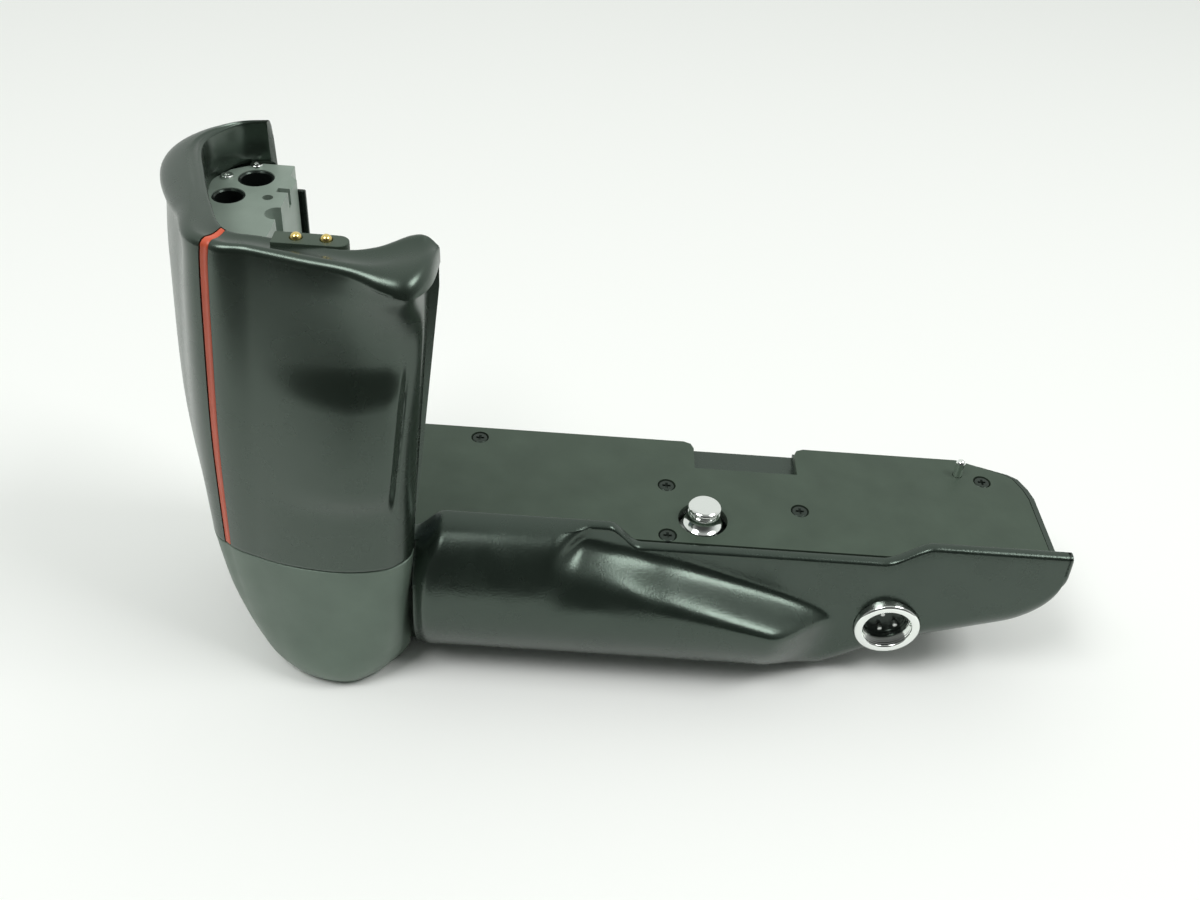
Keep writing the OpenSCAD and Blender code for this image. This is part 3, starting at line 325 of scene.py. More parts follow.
CENTRE = (0, 0, 0)
BASE_DEPTH = 29.0
BASE_LEFT = -54.0
BASE_RIGHT = 68.3
BASE_REAR = 23.6
SEAT_Z = -1.5
BODY_BOTTOM = 0.3 - BASE_DEPTH
FOOT_GAP_Y = -11.4
WALL_DRAFT = 0.13
FRONT_EDGE_R = 6.0
REAR_EDGE_R = 4.0
WING_L = 0.8
# Front lip, and the places along the base where it drops and climbs again
LIP_INSET = 6.9
LIP_FRONT = -8.9
LIP_H = 4.6
LIP_IN_R = 0.5
LIP_OUT_R = 0.7
LIP_DROP = (-18.3, -12)
LIP_CLIMB = (34, 43)
# Rounded front swell, and its crown that runs up to the lip at the left
SWELL_R = 15.9
SWELL_Y = -3.4
SWELL_FADE = (13, 28)
CROWN_EDGE = -LIP_INSET - 1
CROWN_END = -29.5
CROWN_LEAN = 0.3
CROWN_FADE = 7
# Slanted shelf above the swell: height at the screw and slope of its two edges, and their rounding
SHELF_IN = (-3.3, -0.33)
SHELF_OUT = (-8, -0.22)
SHELF_IN_ROUND = 1.2
SHELF_OUT_ROUND = 2.0
SHELF_LEFT = (-23, -7.5)
# Slanted underside of the right end
END_DEPTH = 5.8
RAMP_X = 26
RAMP_RISE = 3.8
END_RISE = 6
RAMP_SLOPE = (-END_DEPTH - BODY_BOTTOM - RAMP_RISE - END_RISE) / (BASE_RIGHT - RAMP_X)
# Rear corner of the right end: where its slant starts, and its rounding
CORNER_L = 14.3
CORNER_SLOPE = 0.36
CORNER_R = 4.3


def lip_top(x):
    raised = 1 - ease(*LIP_DROP, x) + ease(*LIP_CLIMB, x)
    return LIP_H * raised * mix(0.1, 1, ease(BASE_LEFT - 0.5, BASE_LEFT + 5.3, x))


def end_turn(x, r):
    """Share of a rounding of radius r towards the base's right end."""
    t = clamp((x - BASE_RIGHT + r) / r)
    return 1 - math.sqrt(1 - t * t)


def floor_z(x):
    ramp = RAMP_SLOPE * max(0, x - RAMP_X) + RAMP_RISE * ease(22, 46, x)
    return BODY_BOTTOM + ramp + END_RISE * end_turn(x, 9)


def rear_y(x):
    slant = CORNER_SLOPE * max(0, min(10, x - BASE_RIGHT + CORNER_L))
    return BASE_REAR - slant - 12.5 * end_turn(x, CORNER_R)


def end_share(x):
    """The swell draws in a little at the base's left end."""
    return mix(0.82, 1, ease(BASE_LEFT, BASE_LEFT + 3, x))


def swell_share(x):
    return (1 - ease(*SWELL_FADE, x)) * end_share(x)


def crown_share(x, z):
    """Where the swell runs up to the raised left part of the lip."""
    start = CROWN_END + CROWN_LEAN * z
    return 1 - ease(start, start + CROWN_FADE, x)


def soft_min(a, b, blend):
    return -blend * math.log(math.exp(-a / blend) + math.exp(-b / blend))


def shelf_in(x):
    below_lip = LIP_H * (1 - ease(*SHELF_LEFT, x)) - 1.0
    return soft_min(below_lip, max(floor_z(x) + 9, SHELF_IN[0] + SHELF_IN[1] * x), 0.5)


def shelf_out(x):
    return min(shelf_in(x) - 2.5, max(floor_z(x) + 6, SHELF_OUT[0] + SHELF_OUT[1] * x))


def wall_y(z, low, top):
    """The plain front wall, drafted, with a rounded lower edge."""
    t = clamp((low + FRONT_EDGE_R - z) / FRONT_EDGE_R)
    return LIP_FRONT + WALL_DRAFT * (z - top) + FRONT_EDGE_R * (1 - math.sqrt(1 - t * t))


def swell_front(z, low):
    return SWELL_Y - math.sqrt(max(0, SWELL_R ** 2 - (z - low - SWELL_R) ** 2))


def crown_front(z, low, top):
    rise = max(0, z - low - SWELL_R) / (top - low - SWELL_R)
    reach = SWELL_R - SWELL_Y + CROWN_EDGE
    return CROWN_EDGE - reach * math.sqrt(max(0, 1 - rise * rise)) if rise > 0 else swell_front(z, low)


def front_y(x, z, low):
    wall = wall_y(z, low, lip_top(x))
    start = shelf_in(x) + SHELF_IN_ROUND
    fall = clamp((start - z) / (start - shelf_out(x) + SHELF_OUT_ROUND))
    share = swell_share(x) * fall ** 3 / (fall ** 3 + (1 - fall) ** 3)
    shelf = mix(wall, min(wall, swell_front(z, low)), share)
    crown = mix(wall, min(wall, crown_front(z, low, lip_top(x))), end_share(x))
    return mix(shelf, crown, crown_share(x, z))


def lip_points(top, foot, front, crown=None):
    """Inner face and rounded top of the front lip, ending at the front wall's first point."""
    low = top - LIP_IN_R
    quarter = angles(0, 90, 5)
    inner = [(-LIP_INSET, foot), (-LIP_INSET, mix(foot, low, 0.5))]
    inner += [(-LIP_INSET - LIP_IN_R * (1 - math.cos(a)), low + LIP_IN_R * math.sin(a)) for a in quarter]
    centre = -LIP_INSET - 0.9
    outer = []
    for a in quarter[:-1]:
        y = centre + (front - centre) * math.sin(a)
        z = top - LIP_OUT_R * (1 - math.cos(a))
        outer.append((mix(y, min(centre, crown[0](z)), crown[1](z)) if crown else y, z))
    return inner + outer


def body_section(x):
    low = floor_z(x)
    rear = rear_y(x)
    top = lip_top(x)
    edge = top - LIP_OUT_R
    start = min(edge - 0.4, max(low + 2, shelf_in(x) + SHELF_IN_ROUND))
    end = min(start - 0.4, max(low + 1, shelf_out(x) - SHELF_OUT_ROUND))
    heights = steps(edge, start, 6)
    # Closer together where the shelf is flattest, and towards the rounded bottom
    heights += [mix(start, end, t + 0.11 * math.sin(2 * math.pi * t)) for t in steps(0, 1, 32)[1:]]
    heights += [low + (end - low) * (1 - math.sin(math.pi / 2 * t)) for t in steps(0, 1, 30)[1:]]
    front = [(front_y(x, z, low), z) for z in heights]
    r = REAR_EDGE_R
    under = [(mix(front[-1][0], rear - r, t), low) for t in (0.25, 0.5, 0.75)]
    back = [(rear - r + r * math.sin(a), low + r - r * math.cos(a)) for a in angles(0, 90, 8)]
    back += [(rear, mix(low + r, SEAT_Z, 0.5)), (rear, SEAT_Z)]
    crown = (lambda z: crown_front(z, low, top), lambda z: crown_share(x, z) * end_share(x))
    return [(x, y, z) for y, z in lip_points(top, SEAT_Z, front[0][0], crown) + front + under + back]


def wing_front(z, low, turn):
    t = clamp((low + 0.9 - z) / 0.9)
    bend = turn + 0.4 * (1 - math.sqrt(1 - t * t))
    return min(-LIP_INSET - 0.3, front_y(BASE_RIGHT, z, floor_z(BASE_RIGHT)) + bend)


def wing_section(x):
    """Section of the lip's wing, which stands past the base's right end."""
    t = (x - BASE_RIGHT) / WING_L
    low = mix(floor_z(BASE_RIGHT) + 0.2, 0.5, max(0, t))
    top = lip_top(x) - ease(0.4, 1, t)
    turn = 1 - math.sqrt(1 - clamp(t) ** 2)
    front = [(wing_front(z, low, turn), z) for z in steps(top - LIP_OUT_R, low, 24)]
    return [(x, y, z) for y, z in lip_points(top, low, front[0][0]) + front]


# Tower: plan curves through matching points at several heights, measured from the base's left end

TOWER_H = 65.0
SEAM_Z = 1.0
NECK_Z = TOWER_H - 16
WAIST_Z = 0.5 * (SEAM_Z + NECK_Z)
HORN_Z = TOWER_H - 4.5
FRAME_Z = TOWER_H - 7.5
RIM_Z = FRAME_Z + 0.1
TOP_EDGE = 1.2
TOWER_SEAM = [
    (-26, 23.7), (-34.5, 23.1), (-39.3, 18.5), (-41.2, 11), (-41, 2), (-38.4, -7.5), (-33.1, -16.1),
    (-26, -19.5), (-19, -21.2), (-11, -21.7), (-4.5, -20.5), (-1.4, -18.5), (0, -16.5), (0.3, -14.1),
]
TOWER_WAIST = [
    (-26.8, 23.9), (-34.4, 23.1), (-40, 18.5), (-43.2, 11.5), (-42.8, 2.9), (-39.1, -7.3), (-31.9, -16.9),
    (-24.4, -19.9), (-17, -21.7), (-9.2, -22.2), (-2.8, -20.9), (0.1, -18.9), (1.5, -16.5), (1.9, -14.1),
]
TOWER_NECK = [
    (-27.5, 23.9), (-34, 22.9), (-39.6, 18.5), (-43, 12.1), (-42, 3.9), (-37, -7.1), (-29.7, -17.7),
    (-22.5, -19.7), (-14.6, -21.4), (-7, -21.8), (-1.3, -20.3), (1.7, -18.5), (3.5, -16.7), (3.9, -14.1),
]
TOWER_HORN = [
    (-27.8, 23.9), (-33.6, 22.8), (-38.9, 18.4), (-41.9, 12.3), (-40.9, 4.3), (-35.4, -7.1), (-28.5, -18.1),
    (-21.4, -19.7), (-13.3, -21.7), (-6.5, -22.9), (-1, -24.1), (2.7, -23.8), (4.5, -20.1), (4.9, -14.3),
]
TOWER_TOP = [
    (-28, 24.1), (-33.7, 23.1), (-39.6, 18.9), (-42.7, 12.5), (-41.6, 4.5), (-35.8, -7), (-28, -18.2),
    (-21.2, -19.6), (-13, -21.6), (-6.3, -23.1), (-1, -25.1), (3.2, -25.5), (5.8, -21.5), (6.3, -14.5),
]
INNER_SEAM = [
    (-26, 21.9), (-33.4, 21.3), (-37.6, 17.2), (-39.4, 10.8), (-39.1, 2.5), (-36.4, -6.5), (-31.4, -13.9),
    (-25.6, -14.9), (-19, -15.7), (-11, -16.3), (-4.5, -16.1), (-1.8, -15.1), (-0.6, -14.3), (0.1, -13.9),
]
INNER_NECK = [
    (-27.5, 22.1), (-33, 21.1), (-38, 17.1), (-41.1, 11.5), (-40, 3.5), (-34.8, -5.9), (-27.7, -15.1),
    (-21.4, -15.5), (-14.6, -16.1), (-7.2, -16.9), (-1.8, -16.3), (1, -14.7), (2.8, -14.1), (3.6, -13.9),
]
INNER_RIM = [
    (-28.4, 22.6), (-32.6, 20.9), (-35.9, 16.1), (-36.2, 11.1), (-33.9, 3.9), (-30.4, -5.5), (-26, -13.9),
    (-19.6, -15.5), (-13, -16.5), (-7.3, -17.7), (-2.5, -16.9), (1.9, -14.3), (4.2, -13.9), (6, -14.1),
]
OUTER_FALL = [0, 0, 0, 0, 0, 0, 0, 0, 0, 0, -0.3, -0.7, -0.6, -0.6]
INNER_RISE = [0, 0, 0, 0, 0, 0, 0, 0, 0, 0.1, 0.6, 1.4, 1.3, -0.4]
LAST_PLACE = len(TOWER_SEAM) - 1
# Inlaid stripe, at one of the plans' points; one place is this many millimetres wide on either side of it
STRIPE_PLACE = 6
LEFT_SCALE = 13
RIGHT_SCALE = 6.5
STRIPE_LEFT = 0.7 / LEFT_SCALE
STRIPE_RIGHT = 0.75 / RIGHT_SCALE
STRIPE_ROOM = 0.12
STRIPE_T = 0.6
# Block of the spring contacts, let into the front wall's inner side
BLOCK_X = BASE_LEFT - 12.6
BLOCK_HALF = 5.7
BLOCK_FRONT = -17.7
BLOCK_REAR = -14.4
BLOCK_LOW = TOWER_H - 14
BLOCK_TOP = TOWER_H + 0.3
OUTER_PLANS = [(TOWER_SEAM, SEAM_Z), (TOWER_WAIST, WAIST_Z), (TOWER_NECK, NECK_Z), (TOWER_HORN, HORN_Z),
               (TOWER_TOP, TOWER_H - TOP_EDGE)]
INNER_WAIST = [mix(a, b, 0.5) for a, b in zip(INNER_SEAM, INNER_NECK)]
INNER_PLANS = [(INNER_SEAM, SEAM_Z), (INNER_WAIST, WAIST_Z), (INNER_NECK, NECK_Z)]


def plan_at(plans, level):
    """The curve's points at one level between the plans."""
    spots = []
    for k in range(len(plans[0][0])):
        spots.append(along([(plan[k][0] + BASE_LEFT, plan[k][1], z) for plan, z in plans], level))
    return spots


PILLOW_H = 1.3
GROOVE_H = 0.3


def pillow(place, z):
    """Swell of the palm pillow, with a groove beside its crisp right edge."""
    end = mix(10.3, 10.75, clamp((z - 18) / 26))
    swell = PILLOW_H * ease(7, 9.4, place) * (1 - ease(end - 0.12, end + 0.12, place)) * ease(14, 21, z)
    groove = GROOVE_H * math.exp(-((place - end - 0.2) / 0.1) ** 2) * ease(15, 18, z)
    return (swell - groove) * (1 - ease(39, 46, z))


def fullness(place, z):
    """Soft swell of the outer side, steepest beside the stripe and fuller towards the top."""
    t = clamp(place - 5)
    return (0.7 + 0.6 * ease(15, 60, z)) * 6.75 * t * t * (1 - t)


def edge_h(place):
    """Height of the top's outer rounding, larger at the horn and at the rear."""
    return TOP_EDGE + 1.2 * ease(8.5, 11, place) + 1.8 * (1 - ease(4.4, 5.8, place))


def edge_w(place):
    """Width of that rounding, as a share of the wall."""
    return 0.28 + 0.22 * ease(8.5, 11, place) + 0.4 * (1 - ease(4.4, 5.8, place))


def inset(spot, inner, depth):
    """A spot moved in towards the wall's inner side."""
    step = Vector(inner) - Vector(spot)
    step.z = 0
    return tuple(Vector(spot) + depth * step.normalized())


# The fine skin lies a little inside the part's coarser one, towards the tower's core
TOWER_CORE = (BASE_LEFT - 18, 0)
SKIN_IN = 0.025
SIDE_OUT = (-0.82, -0.57)
SHELL_LEVELS = [0, 0.012, 0.03] + steps(0, 3, 48)[1:] + steps(3, 4, 12)[1:]
# Both walls of the stripe's groove, each between two places that nearly meet
GROOVE_LEFT = STRIPE_PLACE - STRIPE_LEFT
GROOVE_RIGHT = STRIPE_PLACE + STRIPE_RIGHT
GROOVE_START = GROOVE_LEFT - 0.004
GROOVE_END = GROOVE_RIGHT + 0.004
SHELL_PLACES = [p for p in steps(0, LAST_PLACE, 208) if p < GROOVE_START - 0.01 or p > GROOVE_END + 0.01]
SHELL_PLACES = sorted(SHELL_PLACES + [GROOVE_START, GROOVE_LEFT, GROOVE_RIGHT, GROOVE_END])
OUTER_AT = [plan_at(OUTER_PLANS, level) for level in SHELL_LEVELS]
INNER_AT = [plan_at(INNER_PLANS, level) for level in steps(0, 2, 16)]
RIM_PLAN = [(x + BASE_LEFT, y) for x, y in INNER_RIM]
EDGE_STEPS = 10
INNER_EDGE_R = 0.5


def outer_column(place):
    """Points up the tower's outside, from the seam's groove over the rounded top edge."""
    fall = along(OUTER_FALL, place)
    rim = along(RIM_PLAN, place)
    wide = edge_w(place)
    low = TOWER_H + fall - edge_h(place)
    high = TOWER_H + mix(fall, along(INNER_RISE, place), wide)
    drop = low - TOWER_H + TOP_EDGE
    column = []
    for level, spots in zip(SHELL_LEVELS, OUTER_AT):
        x, y, z = along(spots, place)
        y -= pillow(place, z)
        full = fullness(place, z)
        x += full * SIDE_OUT[0]
        y += full * SIDE_OUT[1]
        away = Vector((x - TOWER_CORE[0], y - TOWER_CORE[1])).normalized()
        column.append((x - SKIN_IN * away.x, y - SKIN_IN * away.y, z + drop * ease(3, 4, level)))
    column[0] = inset(column[0], along(INNER_AT[0], place), 0.35)
    column[1] = inset(column[1], along(INNER_AT[0], place), 0.1)
    x, y, z = column[-1]
    for angle in angles(0, 90, EDGE_STEPS)[1:]:
        t = wide * (1 - math.cos(angle))
        column.append((mix(x, rim[0], t), mix(y, rim[1], t), mix(low, high, math.sin(angle))))
    return column


def inner_column(place):
    """Points up the tower's inside, to the inner edge of its top."""
    rim = along(RIM_PLAN, place)
    top = TOWER_H + along(INNER_RISE, place)
    edge = along(OUTER_AT[-1], place)
    column = [along(spots, place) for spots in INNER_AT]
    column += [(column[-1][0], column[-1][1], z) for z in (mix(NECK_Z, RIM_Z, 0.5), RIM_Z - 0.08)]
    column += [(rim[0], rim[1], z) for z in steps(RIM_Z, top - INNER_EDGE_R, 8)]
    for angle in angles(0, 90, 4)[1:]:
        t = 0.1 * (1 - math.cos(angle))
        z = top - INNER_EDGE_R + INNER_EDGE_R * math.sin(angle)
        column.append((mix(rim[0], edge[0], t), mix(rim[1], edge[1], t), z))
    return column


def top_points(outer, inner):
    """The tower's top between its two edges, a little hollow."""
    points = []
    for t in steps(0, 1, 10)[1:-1]:
        x, y, z = mix(outer, inner, t)
        points.append((x, y, z - 0.25 * math.sin(math.pi * t)))
    return points


def sunk(column, depth):
    """A column moved into the wall below the edge, turning down over the edge to the top."""
    moved = []
    for k, (x, y, z) in enumerate(column):
        angle = math.radians(90 * clamp((k + 1 - len(SHELL_LEVELS)) / EDGE_STEPS))
        inward = depth * math.cos(angle)
        moved.append((x + 0.5 * inward, y + 0.85 * inward, z - depth * math.sin(angle)))
    return moved


def shell_columns(place):
    outer = outer_column(place)
    inner = inner_column(place)
    return outer, top_points(outer[-1], inner[-1]), inner


def grip_shell():
    sections = []
    for place in SHELL_PLACES:
        outer, top, inner = shell_columns(place)
        outside = outer + top
        if GROOVE_START < place < GROOVE_END:
            outside = sunk(outside, STRIPE_T)
            inner[-1] = (inner[-1][0], inner[-1][1], inner[-1][2] - STRIPE_T)
        sections.append(outside + list(reversed(inner)))
    shell = loft("grip_skin", sections)
    low = (BLOCK_X - BLOCK_HALF, BLOCK_FRONT, BLOCK_LOW)
    high = (BLOCK_X + BLOCK_HALF, BLOCK_REAR + 5, ABOVE_ALL)
    dress(cut(shell, [block("pocket", low, high)]), "grip_shell")


def red_stripe():
    """Inlaid strip, a little domed across."""
    left = GROOVE_LEFT + STRIPE_ROOM / LEFT_SCALE
    right = GROOVE_RIGHT - STRIPE_ROOM / RIGHT_SCALE
    lift = [0.12, 0.03, 0, 0, 0, 0.03, 0.12]
    rows = []
    for place in steps(left, right, len(lift) - 1):
        outer, top, inner = shell_columns(place)
        rows.append(outer + top + [inner[-1]])
    tops = [sunk(row, depth) for row, depth in zip(rows, lift)]
    beds = [sunk(row, STRIPE_T - 0.02) for row in (rows[-1], rows[0])]
    sections = [list(section) for section in zip(*(tops + beds))]
    dress(loft("stripe", sections, 50), "red_stripe")


# Foot: closed plans from the seam down

FOOT_MID = [
    (-26, 23.6), (-33.5, 22.5), (-37.4, 18), (-39.1, 10.8), (-38.9, 2), (-36.7, -7.5), (-31.4, -16.4),
    (-25, -20.1), (-18.5, -22.1), (-11, -22.7), (-4.6, -21.3), (-1.8, -18.5), (-1.1, -16.1), (-0.9, -14.1),
]
FOOT_LOW = [
    (-24, 22.9), (-29.4, 21.5), (-32.8, 17.1), (-34.3, 10.5), (-34.1, 2), (-32.5, -7), (-28.6, -16.5),
    (-23, -21.3), (-17, -23.5), (-11.3, -23.7), (-6, -21.1), (-3.2, -17.9), (-2, -15.7), (-1.2, -14.1),
]
FOOT_SOLE = [
    (-22, 20.9), (-26, 19.3), (-28.6, 15.7), (-29.6, 10), (-29.5, 2), (-28.4, -6.9), (-25.4, -15.3),
    (-21.3, -19.7), (-16.4, -21.5), (-11.4, -21.5), (-7.6, -19.1), (-5.8, -16.7), (-4.4, -15.3),
    (-3.4, -14.1),
]
FOOT_PLANS = [(TOWER_SEAM, SEAM_Z), (FOOT_MID, -0.45 * BASE_DEPTH), (FOOT_LOW, -0.83 * BASE_DEPTH),
              (FOOT_SOLE, -BASE_DEPTH)]
FOOT_PLACES = steps(0, LAST_PLACE, 130)
FOOT_INNER_X = -5.4
RELEASE_PLACE = (BASE_LEFT - 35.6, 3.5, -20)
RELEASE_TILT = math.radians(29.8)
RELEASE_AXIS = (-math.cos(RELEASE_TILT), 0, -math.sin(RELEASE_TILT))


def foot_end(spot, side, room):
    """The foot's straight sides, against the base."""
    near = min(-1, side - BASE_LEFT) - room
    inner = FOOT_INNER_X - room
    corners = [(near, FOOT_GAP_Y - 1.5), (near, FOOT_GAP_Y - room), (inner, FOOT_GAP_Y - room),
               (inner, spot[1] - room)]
    return [(x + BASE_LEFT, y, min(spot[2], SEAT_Z)) for x, y in corners]


def foot_ring(level):
    plan = plan_at(FOOT_PLANS, level)
    ring = []
    for place in FOOT_PLACES:
        x, y, z = along(plan, place)
        full = fullness(place, z) * (1 - level / 3)
        ring.append((x + full * SIDE_OUT[0], y + full * SIDE_OUT[1], z))
    if level == 0:
        ring = [inset(spot, along(INNER_AT[0], place), 0.3) for spot, place in zip(ring, FOOT_PLACES)]
    return ring + foot_end(plan[0], plan[LAST_PLACE][0], 0)


def rim_ring(z):
    plan = [(x + BASE_LEFT, y, z) for x, y in INNER_SEAM]
    ring = [along(plan, place) for place in FOOT_PLACES]
    return ring + foot_end((0, TOWER_SEAM[0][1], SEAT_Z), BASE_LEFT, 0.3)


def grip_foot():
    rings = [rim_ring(SEAT_Z), rim_ring(SEAM_Z)]
    rings += [foot_ring(level) for level in [0, 0.02] + steps(0, 3, 60)[1:]]
    foot = loft("foot_skin", rings)
    tools = [
        rod("collar_seat", RELEASE_PLACE, RELEASE_AXIS, 8.2, -1.4, 20, 96),
        rod("bezel_bore", RELEASE_PLACE, RELEASE_AXIS, 5.15, -8, 20, 96),
    ]
    # The foot's pale finish is painted reflection of the floor, not the moulding's own colour
    dress(cut(foot, tools), "grip_foot", look="foot_painted_floor_reflection")


# Base pieces

# Room between pieces that are pressed together
FIT = 0.01
PLATE_FRONT = -6.75
PLATE_NECK = BASE_LEFT - 5.6
PLATE_LEFT = BASE_LEFT - 19.4
NOTCH_LEFT = -1.1
NOTCH_RIGHT = 19.8
NOTCH_Y = BASE_REAR - 8.3
NOTCH_EDGE = [(2, 0), (0.6, 0.6), (0, 2)]
RIM_W = 1.2
RIM_STATIONS = [BASE_RIGHT - d for d in (0.4, 1, 2.4, CORNER_R, 7, 10, CORNER_L)]
PLATE_SCREWS = [(BASE_LEFT + 8.8, BASE_REAR - 3.2), (-6.9, 9.4), (-6.9, -5), (19.3, 4.4),
                (BASE_RIGHT - 10.2, BASE_REAR - 6.5), (BASE_LEFT - 10, 18.5), (BASE_LEFT - 10, -9.5)]
BOTTOM_SCREWS = [(BASE_LEFT + 6, 2.5), (BASE_LEFT + 6, BASE_REAR - 6.8), (-13, BASE_REAR - 6.8), (-13, -1.5)]
KNOB_LOW = -27.8
WELL_TOP = -24.0
TRIPOD = (13, 11.5, 0)
TRIPOD_R = 5.175
TRIPOD_TOP = -22
TERMINAL_X = 37.2
TERMINAL = (TERMINAL_X, 0, 0.5 * (floor_z(TERMINAL_X) + SEAT_Z) - 2.7)
BARREL_R = 5.25
RING_BACK = 3.5
RING_SEAT = 10.1
PIN = (BASE_RIGHT - 15, BASE_REAR - 4.8, 0)
PIN_R = 0.95
PLUG = (BASE_RIGHT - 2.5, -4.5, 2.1 - END_DEPTH)
PLUG_R = 1.6
# Bay of the lying cells, its door's hinge and the pocket of the latch's tongue
BAY_LEFT = BASE_LEFT - 3.6
BAY_END = -5.9
BAY_LOW = -22.8
DOOR_TOP = -7.9
HINGE_Y = 22.3
HINGE_Z = -23.2
HINGE_ROOM = 1.6
LATCH_X = 0.5 * (BAY_LEFT + BAY_END)
LATCH_HALF = 3.8
LATCH_RISE = 2.1


def rim_in(x, room):
    """Point of the seat plate's rounded right end, inside the base's rim by some room."""
    return (x - (RIM_W + room) * ease(BASE_RIGHT - 12, BASE_RIGHT, x), rear_y(x))


def rim_outline():
    stations = RIM_STATIONS[:-1]
    outer = [(BASE_RIGHT - 0.05, PLATE_FRONT)] + [(x - 0.05, rear_y(x) - 0.05) for x in stations]
    inner = [rim_in(x, -0.1) for x in reversed(stations)]
    return outer + [(x, y - 0.1) for x, y in inner] + [(BASE_RIGHT - RIM_W + 0.1, PLATE_FRONT)]


def plate_outline():
    """The seat plate from its tongue under the tower, along the front to the right end and the rear notch."""
    left = [(PLATE_NECK, BASE_REAR), (PLATE_NECK, 21.1), (PLATE_LEFT, 21.1), (PLATE_LEFT, -13.3),
            (PLATE_NECK, -13.3), (PLATE_NECK, PLATE_FRONT), (BASE_RIGHT - RIM_W, PLATE_FRONT)]
    right = [rim_in(x, 0.05) for x in RIM_STATIONS]
    right = [(x, y - 0.15 * ease(BASE_RIGHT - 13, BASE_RIGHT - 9, x)) for x, y in right]
    notch = [(NOTCH_RIGHT + x, BASE_REAR - y) for x, y in NOTCH_EDGE]
    notch += [(NOTCH_RIGHT, NOTCH_Y), (NOTCH_LEFT, NOTCH_Y)]
    notch += [(NOTCH_LEFT - x, BASE_REAR - y) for x, y in reversed(NOTCH_EDGE)]
    return left + right + notch


def base_body():
    stations = steps(BASE_LEFT - 5, BASE_RIGHT - 4.5, 196) + steps(BASE_RIGHT - CORNER_R, BASE_RIGHT, 24)
    body = loft("base_skin", [body_section(x) for x in stations])
    bottom_rear = BASE_REAR - REAR_EDGE_R - 0.6
    behind = BASE_REAR + 1
    cut(body, [
        block("tower_side", (BASE_LEFT - 6, -40, -40), (BASE_LEFT + 0.3, FOOT_GAP_Y + 0.4, 20)),
        rod("knob_well", CENTRE, UPWARD, 8.8, BELOW_ALL, WELL_TOP, 96),
        rod("screw_bore", CENTRE, UPWARD, 5, -30, 5, 96),
        block("bottom_seat", (BASE_LEFT + 2, -4.5, BELOW_ALL), (22, bottom_rear, 1.6 - BASE_DEPTH)),
        rod("tripod_bore", TRIPOD, UPWARD, TRIPOD_R, BELOW_ALL, TRIPOD_TOP, 96),
        block("bay", (BAY_LEFT, -8.1, BAY_LOW), (BAY_END, behind, DOOR_TOP)),
        rod("hinge_room", (BAY_LEFT, HINGE_Y, HINGE_Z), RIGHTWARD, HINGE_ROOM, 0, BAY_END - BAY_LEFT, 48),
        block("hinge_slot", (BAY_LEFT, HINGE_Y, HINGE_Z - HINGE_ROOM), (BAY_END, behind, HINGE_Z)),
        block("latch_pocket", (LATCH_X - LATCH_HALF, BASE_REAR - 2.1, DOOR_TOP - 0.1),
              (LATCH_X + LATCH_HALF, BASE_REAR - 0.6, DOOR_TOP + LATCH_RISE)),
        rod("ring_seat", TERMINAL, FORWARD, 6.45, RING_SEAT, 40, 96),
        rod("barrel_bore", TERMINAL, FORWARD, BARREL_R, 0, 30, 96),
        block("notch", (NOTCH_LEFT, NOTCH_Y, SEAT_Z - 0.9), (NOTCH_RIGHT, behind, 1)),
        rod("plug_bore", PLUG, RIGHTWARD, PLUG_R + FIT, 0, 6, 48),
    ])
    wing = loft("wing", [wing_section(x) for x in steps(BASE_RIGHT - 0.4, BASE_RIGHT + WING_L, 12)])
    rim = soften(prism("rim", rim_outline(), SEAT_Z - 0.4, 0), 0.2)
    settle(rim)
    dress(join([body, wing, rim]), "base_body")


def top_plate():
    plate = prism("seat_plate", plate_outline(), SEAT_Z, 0)
    tools = [rod("screw_hole", CENTRE, UPWARD, 4.8, -3, 3, 96)]
    tools += [rod("head_room", (x, y, 0), UPWARD, 1.8, -0.8, 2, 48) for x, y in PLATE_SCREWS]
    tools.append(rod("pin_hole", PIN, UPWARD, PIN_R + 0.07, -3, 3, 48))
    dress(soften(cut(plate, tools), 0.18), "top_plate")


def cross_screw(name, place, axis, head_r, head_h, shank_r, shank_l):
    """Pan-head screw with a tapered cross recess, its head's top at the place."""
    round_r = 0.45 * head_h
    profile = [(0, 0.0)]
    for a in angles(0, 90, 6):
        profile.append((head_r - round_r + round_r * math.sin(a), round_r * (math.cos(a) - 1)))
    shank_low = -head_h - shank_l
    profile += [(head_r, -head_h), (shank_r, -head_h), (shank_r, shank_low), (0, shank_low - 0.3)]
    screw = turned(name, profile, place, axis, 64)
    turn = Vector(UPWARD).rotation_difference(Vector(axis))
    arm = 0.62 * head_r
    half = 0.16 * head_r
    tools = []
    for wide in (True, False):
        sections = []
        for z, share in ((0.3, 1.15), (-0.75 * head_h, 0.35)):
            x = arm * share if wide else half
            y = half if wide else arm * share
            spots = [(-x, -y, z), (x, -y, z), (x, y, z), (-x, y, z)]
            sections.append([tuple(turn @ Vector(spot) + Vector(place)) for spot in spots])
        tools.append(loft("arm", sections))
    return cut(screw, tools)


def screw_set(name, node, spots, axis, shank_l):
    screws = [cross_screw(f"{name}_{k}", spot, axis, 1.6, 0.7, 0.8, shank_l) for k, spot in enumerate(spots)]
    dress(join(screws), node)


